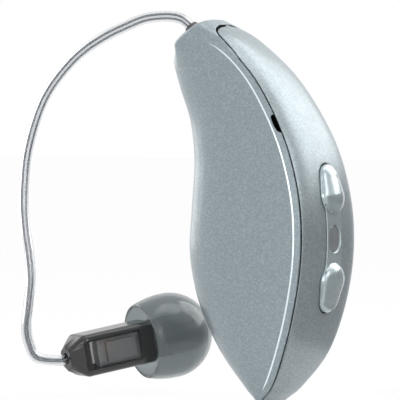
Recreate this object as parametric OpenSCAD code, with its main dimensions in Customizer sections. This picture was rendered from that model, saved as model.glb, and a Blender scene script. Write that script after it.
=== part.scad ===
// Hearing aid worn behind the ear, with its receiver in the ear canal.
// Millimetres, +Z up along the body, +X towards the spine of the body, -Y is the outer side.
// The origin is the deepest point of the hollow front edge, where the body sits on the ear.

/* [Body] */
// Height of the body between its first and last section
body_h = 34.2; // [33.5:0.1:36]
// Depth of the body at its fullest, from the front edge to the spine
body_d = 14.8; // [14.5:0.1:16]
// Width of the body at its fullest, across the two creases
body_w = 9.5; // [9.2:0.1:10.5]
// How far the spine cover is arched over its own edge
cover_rise = 1.2; // [1:0.05:1.3]
// Thickness of the plastic shells
shell_wall = 0.9; // [0.8:0.05:1]
// Width of the slanted strip between the crease and the cover
strip_w = 0.75; // [0.6:0.05:0.9]
// Slant of that strip, in degrees
strip_slant = 28; // [20:1:40]
// Line left open between the two shells
seam_gap = 0.1; // [0.06:0.02:0.14]
// Radius that rounds the nose
nose_r = 0.9; // [0.7:0.05:1]
// Radius that rounds the tip
tip_r = 1.3; // [1:0.05:1.3]

/* [Rocker] */
// Length of the rocker along the spine
rocker_l = 13.4; // [12.6:0.1:13.8]
// Width of the narrow strip between the two bumps
rocker_w = 2.4; // [2.2:0.1:2.6]
// Thickness of the rocker
rocker_t = 0.6; // [0.5:0.05:0.7]
// Length of one bump
bump_l = 4.5; // [4:0.1:4.8]
// Width of one bump
bump_w = 3.3; // [3:0.1:3.5]
// Height of a bump over the strip
bump_h = 0.8; // [0.6:0.05:1]
// How far the strip stands out of the cover
rocker_proud = 0.1; // [0.05:0.05:0.2]
// Line left open round the rocker
rocker_gap = 0.12; // [0.1:0.01:0.15]
// Diameter of the pin the rocker tilts on
pin_d = 0.5; // [0.4:0.05:0.6]
// Length of the light window
window_l = 2.4; // [2:0.1:2.8]
// Width of the light window
window_w = 1.9; // [1.6:0.1:2]

/* [Power and boards] */
// Room left between the cell's ring and the front wall
cell_room = 1.4; // [1.2:0.05:2]
// Room left between each face of the cell and the side wall
cell_side_room = 1.25; // [1.1:0.05:1.5]
// Thickness of the main board
board_t = 0.5; // [0.4:0.05:0.6]
// Thickness of the inner frame
frame_t = 0.7; // [0.6:0.05:0.8]
// Width of the inner frame
frame_w = 3.6; // [3:0.1:4]
// Diameter of one charging pad
pad_d = 1.6; // [1.2:0.1:1.8]

/* [Microphones] */
// Length of a microphone can along the spine
mic_l = 2.5; // [2.2:0.1:2.8]
// Width of a microphone can
mic_w = 3.3; // [3:0.1:3.4]
// Height of a microphone can
mic_h = 1.2; // [1.1:0.05:1.3]
// Length of the side microphone slot
slot_l = 1.7; // [1.4:0.1:1.9]
// Width of the side microphone slot
slot_w = 0.4; // [0.3:0.05:0.5]

/* [Plug and lead] */
// Diameter of the plug's stem
stem_d = 1.7; // [1.5:0.1:1.9]
// Length of the plug's stem inside the nose
stem_l = 3.6; // [3.2:0.1:4]
// Thickness of the plug's flange
flange_t = 0.45; // [0.4:0.05:0.6]
// Outer diameter of the clear lead
lead_d = 1; // [0.9:0.05:1.1]
// Bore of the clear lead
lead_bore = 0.66; // [0.6:0.02:0.7]
// Diameter of one wire in the lead
wire_d = 0.22; // [0.18:0.02:0.24]

/* [Receiver and dome] */
// Length of the receiver's housing
receiver_l = 8.4; // [8:0.1:9]
// Height of the receiver's housing
receiver_h = 3.9; // [3.7:0.1:4.1]
// Width of the receiver's housing
receiver_w = 3.6; // [3.4:0.1:3.8]
// Thickness of the receiver's housing
receiver_wall = 0.4; // [0.3:0.05:0.5]
// Outer diameter of the sound spout
spout_d = 2.6; // [2.4:0.1:2.8]
// Length of the sound spout
spout_l = 5.5; // [5.2:0.1:5.8]
// Diameter of the dome
dome_d = 8; // [6:0.5:8]
// Length of the dome from rim to tip
dome_l = 6.9; // [6.5:0.1:7.2]
// Thickness of the dome's skirt
dome_skin = 0.3; // [0.25:0.05:0.4]
// Diameter of the sound outlet
outlet_d = 1; // [0.8:0.1:1.1]

/* [Hidden] */
// Shares of body_h, body_d and body_w that shape each section, from the tip to the nose:
// front height, front reach, back height, back reach, width, crown of the cover
section_shares = [
    [-0.626,  0.459, -0.626, 0.595, 0.40, 0.75],
    [-0.588,  0.365, -0.588, 0.696, 0.59, 0.75],
    [-0.503,  0.203, -0.503, 0.824, 0.86, 0.71],
    [-0.386,  0.047, -0.386, 0.912, 0.97, 0.58],
    [-0.252, -0.034, -0.252, 0.966, 1.00, 0.54],
    [-0.117, -0.020, -0.117, 0.963, 0.99, 0.58],
    [ 0.000,  0.000,  0.018, 0.892, 0.96, 0.67],
    [ 0.105, -0.030,  0.134, 0.767, 0.89, 0.79],
    [ 0.190, -0.105,  0.240, 0.588, 0.80, 0.83],
    [ 0.257, -0.155,  0.320, 0.372, 0.70, 0.92],
    [ 0.281, -0.160,  0.368, 0.128, 0.62, 1.00]
];
last = len(section_shares) - 1;
// Small clearances, overruns and common thicknesses
fit_gap = 0.03;
seat_gap = 0.05;
cut_over = 1;
foil_t = 0.15;
step_in = 0.02;
step_share = 0.005;
few_facets = 16;
bump_facets = 24;
facets = 32;
fine_facets = 48;
arc_facets = 180;

// A cubic curve through b and c, led by its neighbours a and d
function cubic(a, b, c, d, u) =
    (2 * b + (c - a) * u + (2 * a - 5 * b + 4 * c - d) * u * u + (3 * b - a - 3 * c + d) * u * u * u) / 2;

// One row of shares, carried on in a straight line past both ends
function row(i) =
    i < 0 ? 2 * section_shares[0] - section_shares[1] :
    i > last ? 2 * section_shares[last] - section_shares[last - 1] : section_shares[i];

// Shares at any station t, where whole numbers are the rows of the table
function shares(t) =
    let (i = max(0, min(floor(t), last - 1)))
    cubic(row(i - 1), row(i), row(i + 1), row(i + 2), t - i);

// Side view places of the front edge and of the spine, as [x, z]
function front(t) = let (s = shares(t)) [s[1] * body_d, s[0] * body_h];
function back(t) = let (s = shares(t)) [s[3] * body_d, s[2] * body_h];
function half_w(t) = shares(t)[4] * body_w / 2;
function crown(t) = shares(t)[5] * cover_rise;
function chord(t) = norm(front(t) - back(t));
function inward(t) = (front(t) - back(t)) / chord(t);
function along(t) = let (u = inward(t)) [u[1], -u[0]];

// A side view place at station t and a depth under the spine
function at_depth(t, depth) = back(t) + inward(t) * depth;

// Angles of the outward normals of the spine and of the front edge, and places square under them
t_step = last * step_share;
function spine_angle(t) = let (d = back(t + t_step) - back(t - t_step)) atan2(d[1], d[0]) - 90;
function front_angle(t) = let (d = front(t + t_step) - front(t - t_step)) atan2(d[1], d[0]) + 90;
function under_spine(t, d) = back(t) - d * [cos(spine_angle(t)), sin(spine_angle(t))];
function under_front(t, d) = front(t) - d * [cos(front_angle(t)), sin(front_angle(t))];

// The station at which the spine has risen to height z
function station(z, a = 0, b = last, n = 24) =
    let (m = (a + b) / 2) n == 0 ? m : back(m)[1] < z ? station(z, m, b, n - 1) : station(z, a, m, n - 1);

// Closed side view bands between two depths under the spine or under the front edge
function spine_band(t0, t1, d0, d1, n = 8) = concat(
    [for (i = [0:n]) under_spine(t0 + (t1 - t0) * i / n, d0)],
    [for (i = [n:-1:0]) under_spine(t0 + (t1 - t0) * i / n, d1)]);
function front_band(t0, t1, d0, d1, n = 8) = concat(
    [for (i = [0:n]) under_front(t0 + (t1 - t0) * i / n, d0)],
    [for (i = [n:-1:0]) under_front(t0 + (t1 - t0) * i / n, d1)]);

function bezier(p, u) =
    pow(1 - u, 3) * p[0] + 3 * pow(1 - u, 2) * u * p[1] + 3 * (1 - u) * u * u * p[2] + pow(u, 3) * p[3];

// Half of a section, as [depth, half width] from the front edge round to the spine:
// a full front corner, a nearly flat side, the sharp crease, the slanted strip and the arched cover
front_fill_share = 0.92;
side_flat_share = 0.55;
arch_pull_share = 0.75;
arch_fill_share = 0.55;
strip_cap_share = 0.2;
crown_cap_share = 0.25;
strip_fade_share = 0.12;
side_steps = 8;
arch_steps = 5;
function strip_fade(t) = max(0, min(1, min(t, last - t) / (last * strip_fade_share)));
function half_section(t, c, w, crown_d) =
    let (s = min(strip_w, c * strip_cap_share), p = min(crown_d, c * crown_cap_share))
    let (a = strip_slant * strip_fade(t), crease = p + s * cos(a), ws = w - s * sin(a))
    let (side = [[c, 0], [c, w * front_fill_share], [c - side_flat_share * (c - crease), w], [crease, w]])
    let (arch = [[p, ws], [p, ws] * (1 - arch_pull_share) + [0, ws - p] * arch_pull_share,
                 [0, ws * arch_fill_share], [0, 0]])
    concat([for (i = [0:side_steps]) bezier(side, i / side_steps)],
           [for (i = [0:arch_steps]) bezier(arch, i / arch_steps)]);

// A whole section at station t, drawn in by inset; an end is rounded over from turn t0 to 90
function section(t, inset = 0, turn = 0, t0 = 0, r = 0) =
    let (c = chord(t) - 2 * inset, w = half_w(t) - inset)
    let (h = half_section(t, c, w, crown(t)), n = len(h))
    let (ring = concat(h, [for (i = [n - 2:-1:1]) [h[i][0], -h[i][1]]]))
    let (k = abs(r) * (cos(t0) - cos(turn)), reach = r * (sin(turn) - sin(t0)))
    let (mid = (front(t) + back(t)) / 2, u = inward(t), a = along(t) * reach)
    [for (q = ring) let (d = (q[0] - c / 2) * (1 - 2 * k / c), y = q[1] * (1 - k / w))
        [mid[0] + u[0] * d + a[0], y, mid[1] + u[1] * d + a[1]]];

// A closed solid through a list of rings that all have as many points
module loft(rings) {
    n = len(rings[0]);
    m = len(rings);
    points = [for (ring = rings) for (p = ring) p];
    walls = [for (i = [0:m - 2]) for (j = [0:n - 1])
        let (k = (j + 1) % n)
        let (a = i * n + j, b = i * n + k)
        for (tri = [[a, b, a + n], [b, b + n, a + n]]) tri];
    polyhedron(points, concat(walls,
        [[for (j = [n - 1:-1:0]) j]], [[for (j = [0:n - 1]) (m - 1) * n + j]]), convexity = 8);
}

// The outer form of the closed body; its ends already turn in this far, in degrees
tip_turn = 45;
nose_turn = 12;
body_steps = 28;
module body_form() loft(concat(
    [for (turn = [84, 70, 57]) section(0, 0, turn, tip_turn, -tip_r)],
    [for (i = [0:body_steps]) section(last * i / body_steps, turn = i ? nose_turn : tip_turn,
        t0 = i ? nose_turn : tip_turn)],
    [for (turn = [35, 60, 90]) section(last, 0, turn, nose_turn, nose_r)]));

// The hollow inside the two shells
hollow_end_share = 0.09;
hollow_first = last * hollow_end_share;
hollow_last = last - hollow_first;
hollow_steps = 20;
module hollow() loft([for (i = [0:hollow_steps])
    section(hollow_first + (hollow_last - hollow_first) * i / hollow_steps, shell_wall)]);

// A side view outline carried across the body
module across(width) rotate([90, 0, 0]) linear_extrude(height = width, center = true) children();

// Depth of the seam under the spine, which runs up over the spine at the nose
seam_turn_share = 0.83;
seam_end_share = 0.993;
seam_turn = last * seam_turn_share;
seam_end = last * seam_end_share;
seam_power = 1.5;
function seam_depth(t) =
    let (x = max(0, (t - seam_turn) / (seam_end - seam_turn))) crown(t) * (1 - pow(x, seam_power));
function seam(t) = at_depth(t, seam_depth(t));
seam_steps = 40;
module cover_side() {
    far = body_d;
    line = [for (i = [seam_steps:-1:0]) seam(seam_end * i / seam_steps)];
    top = line[0] - inward(last) * far;
    polygon(concat(line, [line[seam_steps] + [far, 0], [line[seam_steps][0] + far, top[1] + far], top]));
}

// The middle of the cover, which reaches down between the walls of the case
module cover_core(extra = 0) loft([for (i = [0:hollow_steps])
    let (t = hollow_first + (hollow_last - hollow_first) * i / hollow_steps)
    let (w = half_w(t) - strip_w * sin(strip_slant * strip_fade(t)) - shell_wall + extra)
    let (a = at_depth(t, shell_wall + crown(t) + extra), b = at_depth(t, -cut_over))
    [[a[0], w, a[1]], [b[0], w, b[1]], [b[0], -w, b[1]], [a[0], -w, a[1]]]]);

// Places for what stands on the spine: +X out of the spine, +Z up along it
module on_spine(t) {
    p = back(t);
    translate([p[0], 0, p[1]]) rotate([0, -spine_angle(t), 0]) children();
}
module on_front(t) {
    p = front(t);
    translate([p[0], 0, p[1]]) rotate([0, -front_angle(t), 0]) children();
}

// The rocker follows an arc through three places of the spine
rocker_mid_share = 0.44;
rocker_reach_share = 0.146;
arc_a = back(last * (rocker_mid_share - rocker_reach_share));
arc_b = back(last * rocker_mid_share);
arc_c = back(last * (rocker_mid_share + rocker_reach_share));
function circle_mid(a, b, c) =
    let (k = 2 * (a[0] * (b[1] - c[1]) + b[0] * (c[1] - a[1]) + c[0] * (a[1] - b[1])))
    [((a * a) * (b[1] - c[1]) + (b * b) * (c[1] - a[1]) + (c * c) * (a[1] - b[1])) / k,
     ((a * a) * (c[0] - b[0]) + (b * b) * (a[0] - c[0]) + (c * c) * (b[0] - a[0])) / k];
arc_mid = circle_mid(arc_a, arc_b, arc_c);
arc_r = norm(arc_b - arc_mid);
arc_tilt = atan2(arc_b[1] - arc_mid[1], arc_b[0] - arc_mid[0]);
function arc_deg(length) = length / arc_r * 180 / PI;

// Children stand on the arc at radius r, turned by ang degrees up from its middle
module on_arc(r, ang) translate([arc_mid[0], 0, arc_mid[1]]) rotate([0, -arc_tilt - ang, 0])
    translate([r, 0, 0]) children();
function arc_place(r, ang) = arc_mid + r * [cos(arc_tilt + ang), sin(arc_tilt + ang)];

// A strip of the arc between two radii, so wide across and so long
module arc_strip(r_in, r_out, width, length) {
    half_deg = arc_deg(length) / 2;
    translate([arc_mid[0], 0, arc_mid[1]]) rotate([90, 0, 0]) rotate([0, 0, arc_tilt - half_deg])
        rotate_extrude(angle = 2 * half_deg, $fn = arc_facets)
            translate([r_in, -width / 2]) square([r_out - r_in, width]);
}

// Radii of the stack under the rocker, from the spine down to the inner frame
pocket_depth = 0.95;
floor_t = 0.45;
strip_step = 0.05;
pin_under = 0.4;
switch_drop = 0.25;
plunger_h = 0.25;
switch_h = 0.6;
flex_t = 0.4;
rocker_top = arc_r + rocker_proud;
rocker_low = rocker_top - rocker_t;
pocket_r = arc_r - pocket_depth;
floor_r = pocket_r - floor_t;
pin_r = pocket_r - pin_under;
foot_r = floor_r - seat_gap;
plunger_r = foot_r - switch_drop;
switch_r = plunger_r - plunger_h;
flex_r = switch_r - switch_h;
beam_r = flex_r - flex_t;
bump_at = (rocker_l - bump_l) / 2;
bump_deg = arc_deg(bump_at);

// Outline of a bump, seen from outside: two circles drawn together, grown by extra
bump_taper_share = 0.78;
module bump_outline(extra = 0) hull() {
    r_big = bump_w / 2;
    r_small = r_big * bump_taper_share;
    translate([-(bump_l / 2 - r_big), 0]) circle(r = r_big + extra, $fn = facets);
    translate([bump_l / 2 - r_small, 0]) circle(r = r_small + extra, $fn = facets);
}

// A prism of that outline, from radius r_in to r_out; side is 1 for the upper bump
module bump_prism(side, r_in, r_out, extra = 0) on_arc(r_in, side * bump_deg)
    rotate([0, 90, 0]) rotate([0, 0, side > 0 ? 180 : 0]) linear_extrude(height = r_out - r_in)
        bump_outline(extra);

// Snap tongues of the cover and the ribs of the case between them
tongue_shares = [0.16, 0.25, 0.63, 0.76];
rib_shares = [0.205, 0.34, 0.56, 0.71];
tongue_l = 1;
tongue_t = 0.4;
tongue_under = 1.3;
rib_h = 0.3;
rib_l = 4;
module tongue(t, side) {
    top = at_depth(t, crown(t) + shell_wall - tongue_t);
    tip = at_depth(t, crown(t) + shell_wall + tongue_under);
    y = half_w(t) - strip_w * sin(strip_slant) - shell_wall - tongue_t / 2 - seam_gap;
    ys = [y - tongue_t / 2, y];
    hull() for (i = [0, 1]) translate([[top, tip][i][0], side * ys[i], [top, tip][i][1]])
        cube([tongue_t, tongue_t, tongue_l], center = true);
}
module rib(t, side) {
    top = at_depth(t, crown(t) + strip_w + shell_wall + tongue_under);
    foot = at_depth(t, crown(t) + strip_w + shell_wall + tongue_under + rib_l);
    y = half_w(t) - shell_wall;
    hull() for (p = [top, foot]) translate([p[0], side * y, p[1]])
        cube([rib_h, 2 * rib_h, rib_h], center = true);
}

// Run of the gasket in the middle of the shell's edge
gasket_w = 0.36;
gasket_end_share = 0.84;
gasket_first = hollow_first;
gasket_last = last * gasket_end_share;
gasket_steps = 22;
function gasket_ring(t, side, extra) =
    let (p = seam(t), u = inward(t), g = gasket_w / 2 + extra)
    let (w = half_w(t) - strip_w * sin(strip_slant * strip_fade(t)) - shell_wall / 2)
    [for (q = [[-g, -g], [g, -g], [g, g], [-g, g]])
        [p[0] + u[0] * q[0], side * (w + q[1]), p[1] + u[1] * q[0]]];
module gasket_run(side, extra = 0) {
    rings = [for (i = [0:gasket_steps])
        gasket_ring(gasket_first + (gasket_last - gasket_first) * i / gasket_steps, side, extra)];
    mirror([0, side > 0 ? 0 : 1, 0]) loft([for (r = rings) side > 0 ? r : [for (p = r) [p[0], -p[1], p[2]]]]);
}

// The nose: its end face, the way the plug points and the bore behind it
nose_mid = (front(last) + back(last)) / 2 + along(last) * nose_r * (1 - sin(nose_turn));
nose_tilt = atan2(along(last)[1], along(last)[0]);
module on_nose() translate([nose_mid[0], 0, nose_mid[1]]) rotate([0, -nose_tilt, 0]) children();
socket_wall = 0.45;
socket_room = 0.6;
socket_l = stem_l + socket_room;
socket_d = stem_d + 2 * (fit_gap + socket_wall);
socket_sink = 0.4;
nose_bore_l = socket_l + socket_wall + seat_gap;

// The side slot: a mouth in the strip with rounded ends, and a bore across the body behind it
slot_share = 0.674;
slot_t = last * slot_share;
boot_d = 0.9;
boot_bore = 0.5;
boot_under = shell_wall + crown(slot_t) + boot_d / 2 + 2 * seat_gap;
boot_half = half_w(slot_t) - strip_w * sin(strip_slant) - shell_wall - 2 * seat_gap;
module slot_cutter(side) {
    a = at_depth(slot_t, crown(slot_t) + slot_w / 2);
    w = half_w(slot_t);
    for (s = [-1, 1]) translate([a[0], side * w, a[1]]) rotate([0, -spine_angle(slot_t), 0])
        translate([0, 0, s * (slot_l - slot_w) / 2]) rotate([90, 0, 0])
            cylinder(d = slot_w, h = 2 * shell_wall + cut_over, center = true, $fn = few_facets);
}
module slots() for (side = [-1, 1]) hull() slot_cutter(side);

// A duct from the inner end of each slot down to the boot
module slot_ducts() for (side = [-1, 1]) hull() {
    a = at_depth(slot_t, crown(slot_t) + slot_w / 2);
    b = under_spine(slot_t, boot_under);
    for (p = [a, b]) translate([p[0], side * (boot_half + seat_gap), p[1]]) rotate([90, 0, 0])
        cylinder(d = boot_bore, h = boot_bore, center = true, $fn = few_facets);
}

// The front microphone's mouth at the nose end of the cover, and its channel under the cover
mouth_w = 2.4;
mouth_first_share = 0.95;
mouth_last_share = 1.04;
mouth_first = last * mouth_first_share;
mouth_last = last * mouth_last_share;
channel_w = 1.2;
channel_top = 0.3;
channel_floor = 1.1;
channel_first_share = 0.89;
channel_last_share = 0.988;
channel_first = last * channel_first_share;
channel_last = last * channel_last_share;
module front_mouth() across(mouth_w)
    polygon(spine_band(mouth_first, mouth_last, -cut_over, crown(mouth_first) / 2, 4));
module front_channel() across(channel_w)
    polygon(spine_band(channel_first, channel_last, channel_top, channel_floor, 4));

// The pocket of the rocker, with room for its tilt
module pocket() {
    arc_strip(pocket_r + strip_step, arc_r + cut_over, rocker_w + 2 * rocker_gap, 2 * bump_at);
    for (side = [-1, 1]) bump_prism(side, pocket_r, arc_r + cut_over, rocker_gap);
}

// The rocker's two lugs on the pin, and the cover's two ears that hold it
lug_t = 0.4;
lug_gap = 0.8;
lug_wall = 0.25;
lug_r = pin_d / 2 + lug_wall;
lug_room = 0.5;
lug_window = 2 * (lug_r + lug_room);
ear_t = 0.6;
ear_wall = 0.35;
ear_y = rocker_w / 2 + rocker_gap;
foot_d = 1;
foot_room = 0.25;
tray_rim = 0.5;
tray_w = rocker_w + 2 * (rocker_gap + ear_t + tray_rim);

// Stations of the charging pads on the front edge
pad_shares = [0.175, 0.245];

module case_tub() color([0.55, 0.6, 0.62]) difference() {
    union() {
        difference() {
            body_form();
            across(2 * body_w) offset(delta = seam_gap / 2) cover_side();
            cover_core(seam_gap);
            hollow();
        }
        intersection() {
            body_form();
            for (share = rib_shares, side = [-1, 1]) rib(last * share, side);
        }
    }
    for (side = [-1, 1]) gasket_run(side, fit_gap);
    slots();
    front_channel();
    on_nose() translate([-nose_bore_l, 0, 0]) rotate([0, 90, 0])
        cylinder(d = socket_d + 2 * fit_gap, h = nose_bore_l + cut_over, $fn = facets);
    for (share = pad_shares) on_front(last * share) rotate([0, 90, 0])
        cylinder(d = pad_d + 2 * fit_gap, h = 4 * shell_wall, center = true, $fn = facets);
}

module spine_cover() color([0.6, 0.65, 0.67]) difference() {
    union() {
        intersection() {
            difference() {
                body_form();
                hollow();
            }
            union() {
                across(2 * body_w) offset(delta = -seam_gap / 2) cover_side();
                cover_core();
            }
        }
        intersection() {
            body_form();
            union() {
                arc_strip(floor_r + strip_step, arc_r, tray_w, 2 * bump_at);
                for (side = [-1, 1]) bump_prism(side, floor_r, arc_r, rocker_gap + tray_rim);
            }
        }
        for (share = tongue_shares, side = [-1, 1]) tongue(last * share, side);
        for (side = [-1, 1]) on_arc(pin_r, 0) translate([0, side * (ear_y + ear_t / 2), 0])
            rotate([90, 0, 0]) cylinder(r = pin_d / 2 + ear_wall, h = ear_t, center = true, $fn = facets);
    }
    pocket();
    for (side = [-1, 1]) gasket_run(side, fit_gap);
    slots();
    slot_ducts();
    front_mouth();
    on_arc(pocket_r, 0) cube([4 * floor_t, rocker_w + 2 * rocker_gap, lug_window], center = true);
    on_arc(pin_r, 0) rotate([90, 0, 0])
        cylinder(d = pin_d + 2 * step_in, h = 2 * (ear_y + ear_t + seat_gap), center = true, $fn = facets);
    for (side = [-1, 1]) on_arc(pocket_r, side * bump_deg) rotate([0, 90, 0])
        cylinder(d = foot_d + 2 * foot_room, h = 4 * floor_t, center = true, $fn = facets);
    on_boot() cylinder(d = boot_d + 2 * fit_gap, h = 2 * (boot_half + seat_gap), center = true, $fn = facets);
}

// The sealing cord between the two shells
module seam_gasket() color([0.12, 0.12, 0.13]) for (side = [-1, 1]) gasket_run(side);

lens_t = 0.25;
lens_sink = 0.12;
light_hole = 0.8;
module window_outline(extra = 0) hull() for (s = [-1, 1])
    translate([s * (window_l - window_w) / 2, 0]) circle(d = window_w + 2 * extra, $fn = facets);

module rocker() color([0.62, 0.67, 0.69]) difference() {
    union() {
        arc_strip(rocker_low, rocker_top, rocker_w, 2 * bump_at);
        for (side = [-1, 1]) {
            bump_prism(side, rocker_low, rocker_top);
            bump_dome(side);
            on_arc(foot_r, side * bump_deg) rotate([0, 90, 0])
                cylinder(d = foot_d, h = rocker_low - foot_r + step_in, $fn = facets);
            on_arc(pin_r, 0) translate([0, side * (lug_gap + lug_t) / 2, 0]) {
                rotate([90, 0, 0]) cylinder(r = lug_r, h = lug_t, center = true, $fn = facets);
                translate([0, -lug_t / 2, -lug_r])
                    cube([rocker_low - pin_r + rocker_t / 2, lug_t, 2 * lug_r]);
            }
        }
    }
    on_arc(pin_r, 0) rotate([90, 0, 0])
        cylinder(d = pin_d + 2 * fit_gap, h = body_w, center = true, $fn = facets);
    on_arc(rocker_top - lens_t - lens_sink, 0) rotate([0, 90, 0]) linear_extrude(height = cut_over)
        window_outline(seat_gap / 2);
    on_arc(rocker_low - cut_over / 2, 0) rotate([0, 90, 0])
        cylinder(d = light_hole, h = rocker_t + cut_over, $fn = facets);
}

// The swollen top of a bump: a big and a small ball, flattened and drawn together
module bump_dome(side) on_arc(rocker_top, side * bump_deg) hull() {
    r_big = bump_w / 2;
    r_small = r_big * bump_taper_share;
    balls = [[r_big, side * (r_big - bump_l / 2), bump_h],
        [r_small, side * (bump_l / 2 - r_small), bump_h * bump_taper_share]];
    for (b = balls) translate([0, 0, b[1]]) scale([b[2] / b[0], 1, 1])
        sphere(r = b[0] - step_in, $fn = bump_facets);
}

module light_window() color([0.42, 0.43, 0.44, 0.8]) on_arc(rocker_top - lens_t - lens_sink, 0)
    rotate([0, 90, 0]) linear_extrude(height = lens_t) window_outline();

module rocker_pin() color([0.75, 0.76, 0.78]) on_arc(pin_r, 0) rotate([90, 0, 0])
    cylinder(d = pin_d, h = 2 * (ear_y + ear_t), center = true, $fn = facets);

// The flexible strip under the rocker, bent to the arc, and what it carries
switch_l = 2.2;
flex_over = 0.3;
flex_l = 2 * (bump_at + flex_over) + switch_l;
module control_flex() color([0.75, 0.5, 0.2])
    arc_strip(beam_r, flex_r, frame_w - 2 * seat_gap, flex_l);
module key_switch(side) color([0.8, 0.81, 0.83]) on_arc(flex_r, side * bump_deg) {
    translate([0, -switch_l / 2, -switch_l / 2]) cube([switch_h, switch_l, switch_l]);
    translate([switch_h, 0, 0]) rotate([0, 90, 0]) cylinder(d = foot_d, h = plunger_h, $fn = facets);
}
module upper_switch() key_switch(1);
module lower_switch() key_switch(-1);
led_l = 1;
led_w = 0.6;
led_h = 0.4;
module status_led() color([0.9, 0.9, 0.6]) on_arc(flex_r, 0)
    translate([0, -led_w / 2, -led_l / 2]) cube([led_h, led_w, led_l]);

// The inner frame: a beam along the arc, a ring round the cell and a spar up to the nose
cell_angle = -8;
cell_gap = 0.08;
beam_over = 0.8;
ring_step = 0.5;
ring_w = frame_w - 2 * ring_step;
knee_d = arc_r - beam_r + frame_t;
cell_share = 0.4;
cell_d = chord(last * cell_share) - knee_d - 2 * cell_gap - frame_t - shell_wall - cell_room;
cell_t = body_w - 2 * (shell_wall + cell_side_room);
cell_mid = arc_place(arc_r - knee_d - cell_gap - cell_d / 2, cell_angle);
mic_gap = 0.3;
spar_d = shell_wall + mic_gap + mic_h;
spar_lap = 0.1;
knee_l = 1.5;
spar_end_share = 0.88;
spar_first = station(arc_place(arc_r, arc_deg(rocker_l / 2 + beam_over - spar_lap))[1]);
spar_knee = station(back(spar_first)[1] + knee_l);
spar_last = last * spar_end_share;
module inner_frame() color([0.2, 0.2, 0.21]) difference() {
    union() {
        arc_strip(beam_r - frame_t, beam_r, frame_w, rocker_l + 2 * beam_over);
        across(ring_w) polygon(spine_band(spar_first, spar_last, spar_d, spar_d + frame_t, 10));
        across(ring_w) polygon(spine_band(spar_first, spar_knee, spar_d, knee_d, 3));
        translate([cell_mid[0], 0, cell_mid[1]]) rotate([90, 0, 0])
            cylinder(d = cell_d + 2 * (cell_gap + frame_t), h = ring_w, center = true, $fn = fine_facets);
    }
    translate([cell_mid[0], 0, cell_mid[1]]) rotate([90, 0, 0])
        cylinder(d = cell_d + 2 * cell_gap, h = 2 * body_w, center = true, $fn = fine_facets);
    on_boot() cylinder(d = boot_d + 2 * fit_gap, h = 2 * body_w, center = true, $fn = facets);
}

cell_lip = 0.4;
module battery_cell() color([0.72, 0.73, 0.75]) translate([cell_mid[0], 0, cell_mid[1]]) rotate([90, 0, 0])
    rotate_extrude($fn = fine_facets) polygon([[0, -cell_t / 2], [cell_d / 2 - cell_lip, -cell_t / 2],
        [cell_d / 2, -cell_t / 2 + cell_lip], [cell_d / 2, cell_t / 2 - cell_lip],
        [cell_d / 2 - cell_lip, cell_t / 2], [0, cell_t / 2]]);

// The main board hangs from the spar, and the antenna follows its front edge
board_front = 2;
board_cell_room = 2.5;
board_socket_room = 0.4;
board_first = station(cell_mid[1] + cell_d / 2 + cell_gap + frame_t + board_cell_room);
board_last = station(nose_mid[1] - sin(nose_tilt) * (socket_l + socket_wall) - board_socket_room);
function on_board(share) = board_first + (board_last - board_first) * share;
function board_outline() = concat(
    [for (i = [0:8]) under_spine(spar_knee + (board_last - spar_knee) * i / 8, spar_d + frame_t + seat_gap)],
    [for (i = [8:-1:0]) under_front(on_board(i / 8), board_front)],
    [under_spine(board_first, knee_d + seat_gap)],
    [under_spine(spar_knee, knee_d + seat_gap)]);
module main_board() color([0.1, 0.35, 0.22]) across(board_t) polygon(board_outline());
antenna_room = 1.15;
antenna_w = 2 * (half_w(board_last) - shell_wall - antenna_room);
module antenna_strip() color([0.8, 0.55, 0.3]) across(antenna_w)
    polygon(front_band(board_first, board_last, board_front - foil_t, board_front));

// A chip of size l x l x h, flat on one side of the board; its shares are along the board and of the chord
module chip(shares, side, l, h) {
    t = on_board(shares[0]);
    p = at_depth(t, chord(t) * shares[1]);
    translate([p[0], side * (board_t + h) / 2, p[1]]) cube([l, h, l], center = true);
}
processor_l = 3.4;
processor_h = 1.1;
radio_l = 2.6;
radio_h = 0.9;
charger_l = 1.8;
charger_h = 0.7;
processor_shares = [0.25, 0.54];
radio_shares = [0.21, 0.62];
charger_shares = [0.52, 0.42];
module signal_processor() color([0.1, 0.1, 0.11]) chip(processor_shares, -1, processor_l, processor_h);
module radio_chip() color([0.15, 0.15, 0.17]) chip(radio_shares, 1, radio_l, radio_h);
module charge_chip() color([0.12, 0.12, 0.14]) chip(charger_shares, 1, charger_l, charger_h);
capacitor_l = 0.6;
capacitor_pairs_shares = [[0.77, 0.45], [0.87, 0.45], [0.97, 0.45]];
module capacitors() color([0.6, 0.5, 0.35])
    for (shares = capacitor_pairs_shares, side = [-1, 1]) chip(shares, side, capacitor_l, capacitor_l);
telecoil_d = 1.6;
telecoil_l = 3.4;
telecoil_shares = [0.67, 0.62];
module telecoil() color([0.7, 0.35, 0.15]) {
    t = on_board(telecoil_shares[0]);
    p = at_depth(t, chord(t) * telecoil_shares[1]);
    translate([p[0], board_t / 2 + telecoil_d / 2, p[1]]) rotate([0, -spine_angle(t), 0])
        cylinder(d = telecoil_d, h = telecoil_l, center = true, $fn = facets);
}

// Two nickel tabs run up the faces of the cell and fold in to the board
tab_w = 1.6;
tab_share = 0.12;
module battery_tabs() color([0.78, 0.77, 0.72]) for (side = [-1, 1]) {
    p = under_spine(on_board(tab_share), knee_d + 2 * tab_w + side * tab_w);
    rise = p[1] - cell_mid[1];
    translate([p[0] - tab_w / 2, side * (cell_t + foil_t) / 2 - foil_t / 2, cell_mid[1]])
        cube([tab_w, foil_t, rise + foil_t / 2]);
    translate([p[0], side * (board_t + cell_t) / 4 + side * foil_t / 2, p[1]])
        cube([tab_w, (cell_t - board_t) / 2 + foil_t, foil_t], center = true);
}

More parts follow.
